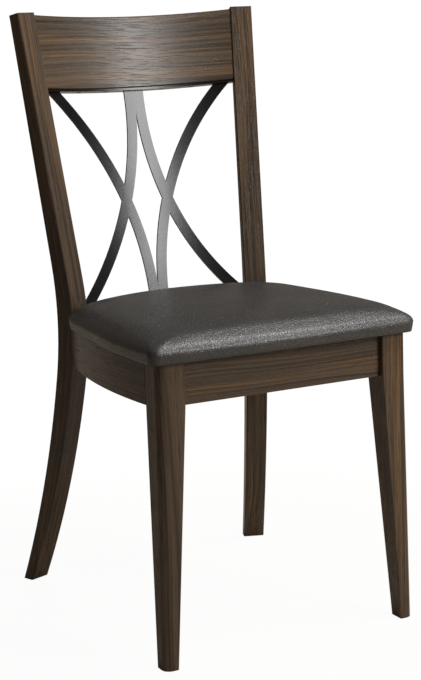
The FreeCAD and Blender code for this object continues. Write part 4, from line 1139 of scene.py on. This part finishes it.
def soft_box(name, place, aim, width, height, watts, mirrored=True):
    """A rectangular lamp that faces a point; one that isn't mirrored leaves no sheen."""
    lamp = bpy.data.lights.new(name, "AREA")
    lamp.shape = "RECTANGLE"
    lamp.size = width
    lamp.size_y = height
    lamp.energy = watts
    thing = bpy.data.objects.new(name, lamp)
    thing.location = place
    thing.rotation_euler = (Vector(aim) - Vector(place)).to_track_quat("-Z", "Y").to_euler()
    thing.visible_glossy = mirrored
    bpy.context.scene.collection.objects.link(thing)


make_world()
soft_box("front_right_box", (1.22, -2.40, 1.74), (0.0, 0.15, 0.80), width=0.8, height=1.3, watts=62.0)
soft_box("top_box", (1.15, -0.85, 2.80), (0.0, 0.0, 0.45), width=0.9, height=0.9, watts=60.0)
soft_box("back_fill", (1.0, 2.6, 1.3), (0.0, 0.1, 0.6), width=1.2, height=1.2, watts=45.0, mirrored=False)
print("three soft boxes and a white world")

# %% [markdown]
# The camera stands where the photographer stood: a long lens, a little above the seat, looking slightly
# down from the chair's left front. Its numbers come from lining up the frame's corners with the picture's,
# and the small roll is the tilt of the picture itself. The lens is given as a focal length in pixels of a
# picture 680 high, which is easy to measure, and is turned into millimetres of a 36 mm sensor.

# %% Camera

CAMERA_PLACE = (-1.19996, -2.34591, 0.93263)
CAMERA_AZIMUTH = math.radians(27.258)
CAMERA_DROP = math.radians(10.726)
CAMERA_ROLL = math.radians(-2.010)
FOCAL_PIXELS = 1654.55
IMAGE_HEIGHT = 680
SENSOR = 36.0


def make_camera():
    """The camera's three directions are worked out one after the other, then rolled."""
    data = bpy.data.cameras.new("camera")
    data.sensor_fit = "AUTO"
    data.sensor_width = SENSOR
    data.lens = FOCAL_PIXELS / IMAGE_HEIGHT * SENSOR
    camera = bpy.data.objects.new("camera", data)
    level = math.cos(CAMERA_DROP)
    heading = (math.sin(CAMERA_AZIMUTH) * level, math.cos(CAMERA_AZIMUTH) * level)
    ahead = Vector((*heading, -math.sin(CAMERA_DROP)))
    right = ahead.cross(Vector((0, 0, 1))).normalized()
    above = right.cross(ahead)
    across = right * math.cos(CAMERA_ROLL) + above * math.sin(CAMERA_ROLL)
    upward = above * math.cos(CAMERA_ROLL) - right * math.sin(CAMERA_ROLL)
    turn = Matrix((across, upward, -ahead)).transposed().to_4x4()
    camera.matrix_world = Matrix.Translation(CAMERA_PLACE) @ turn
    bpy.context.scene.collection.objects.link(camera)
    bpy.context.scene.camera = camera
    return data.lens


print("lens:", round(make_camera(), 2), "mm")
bpy.context.scene.view_settings.view_transform = "Standard"
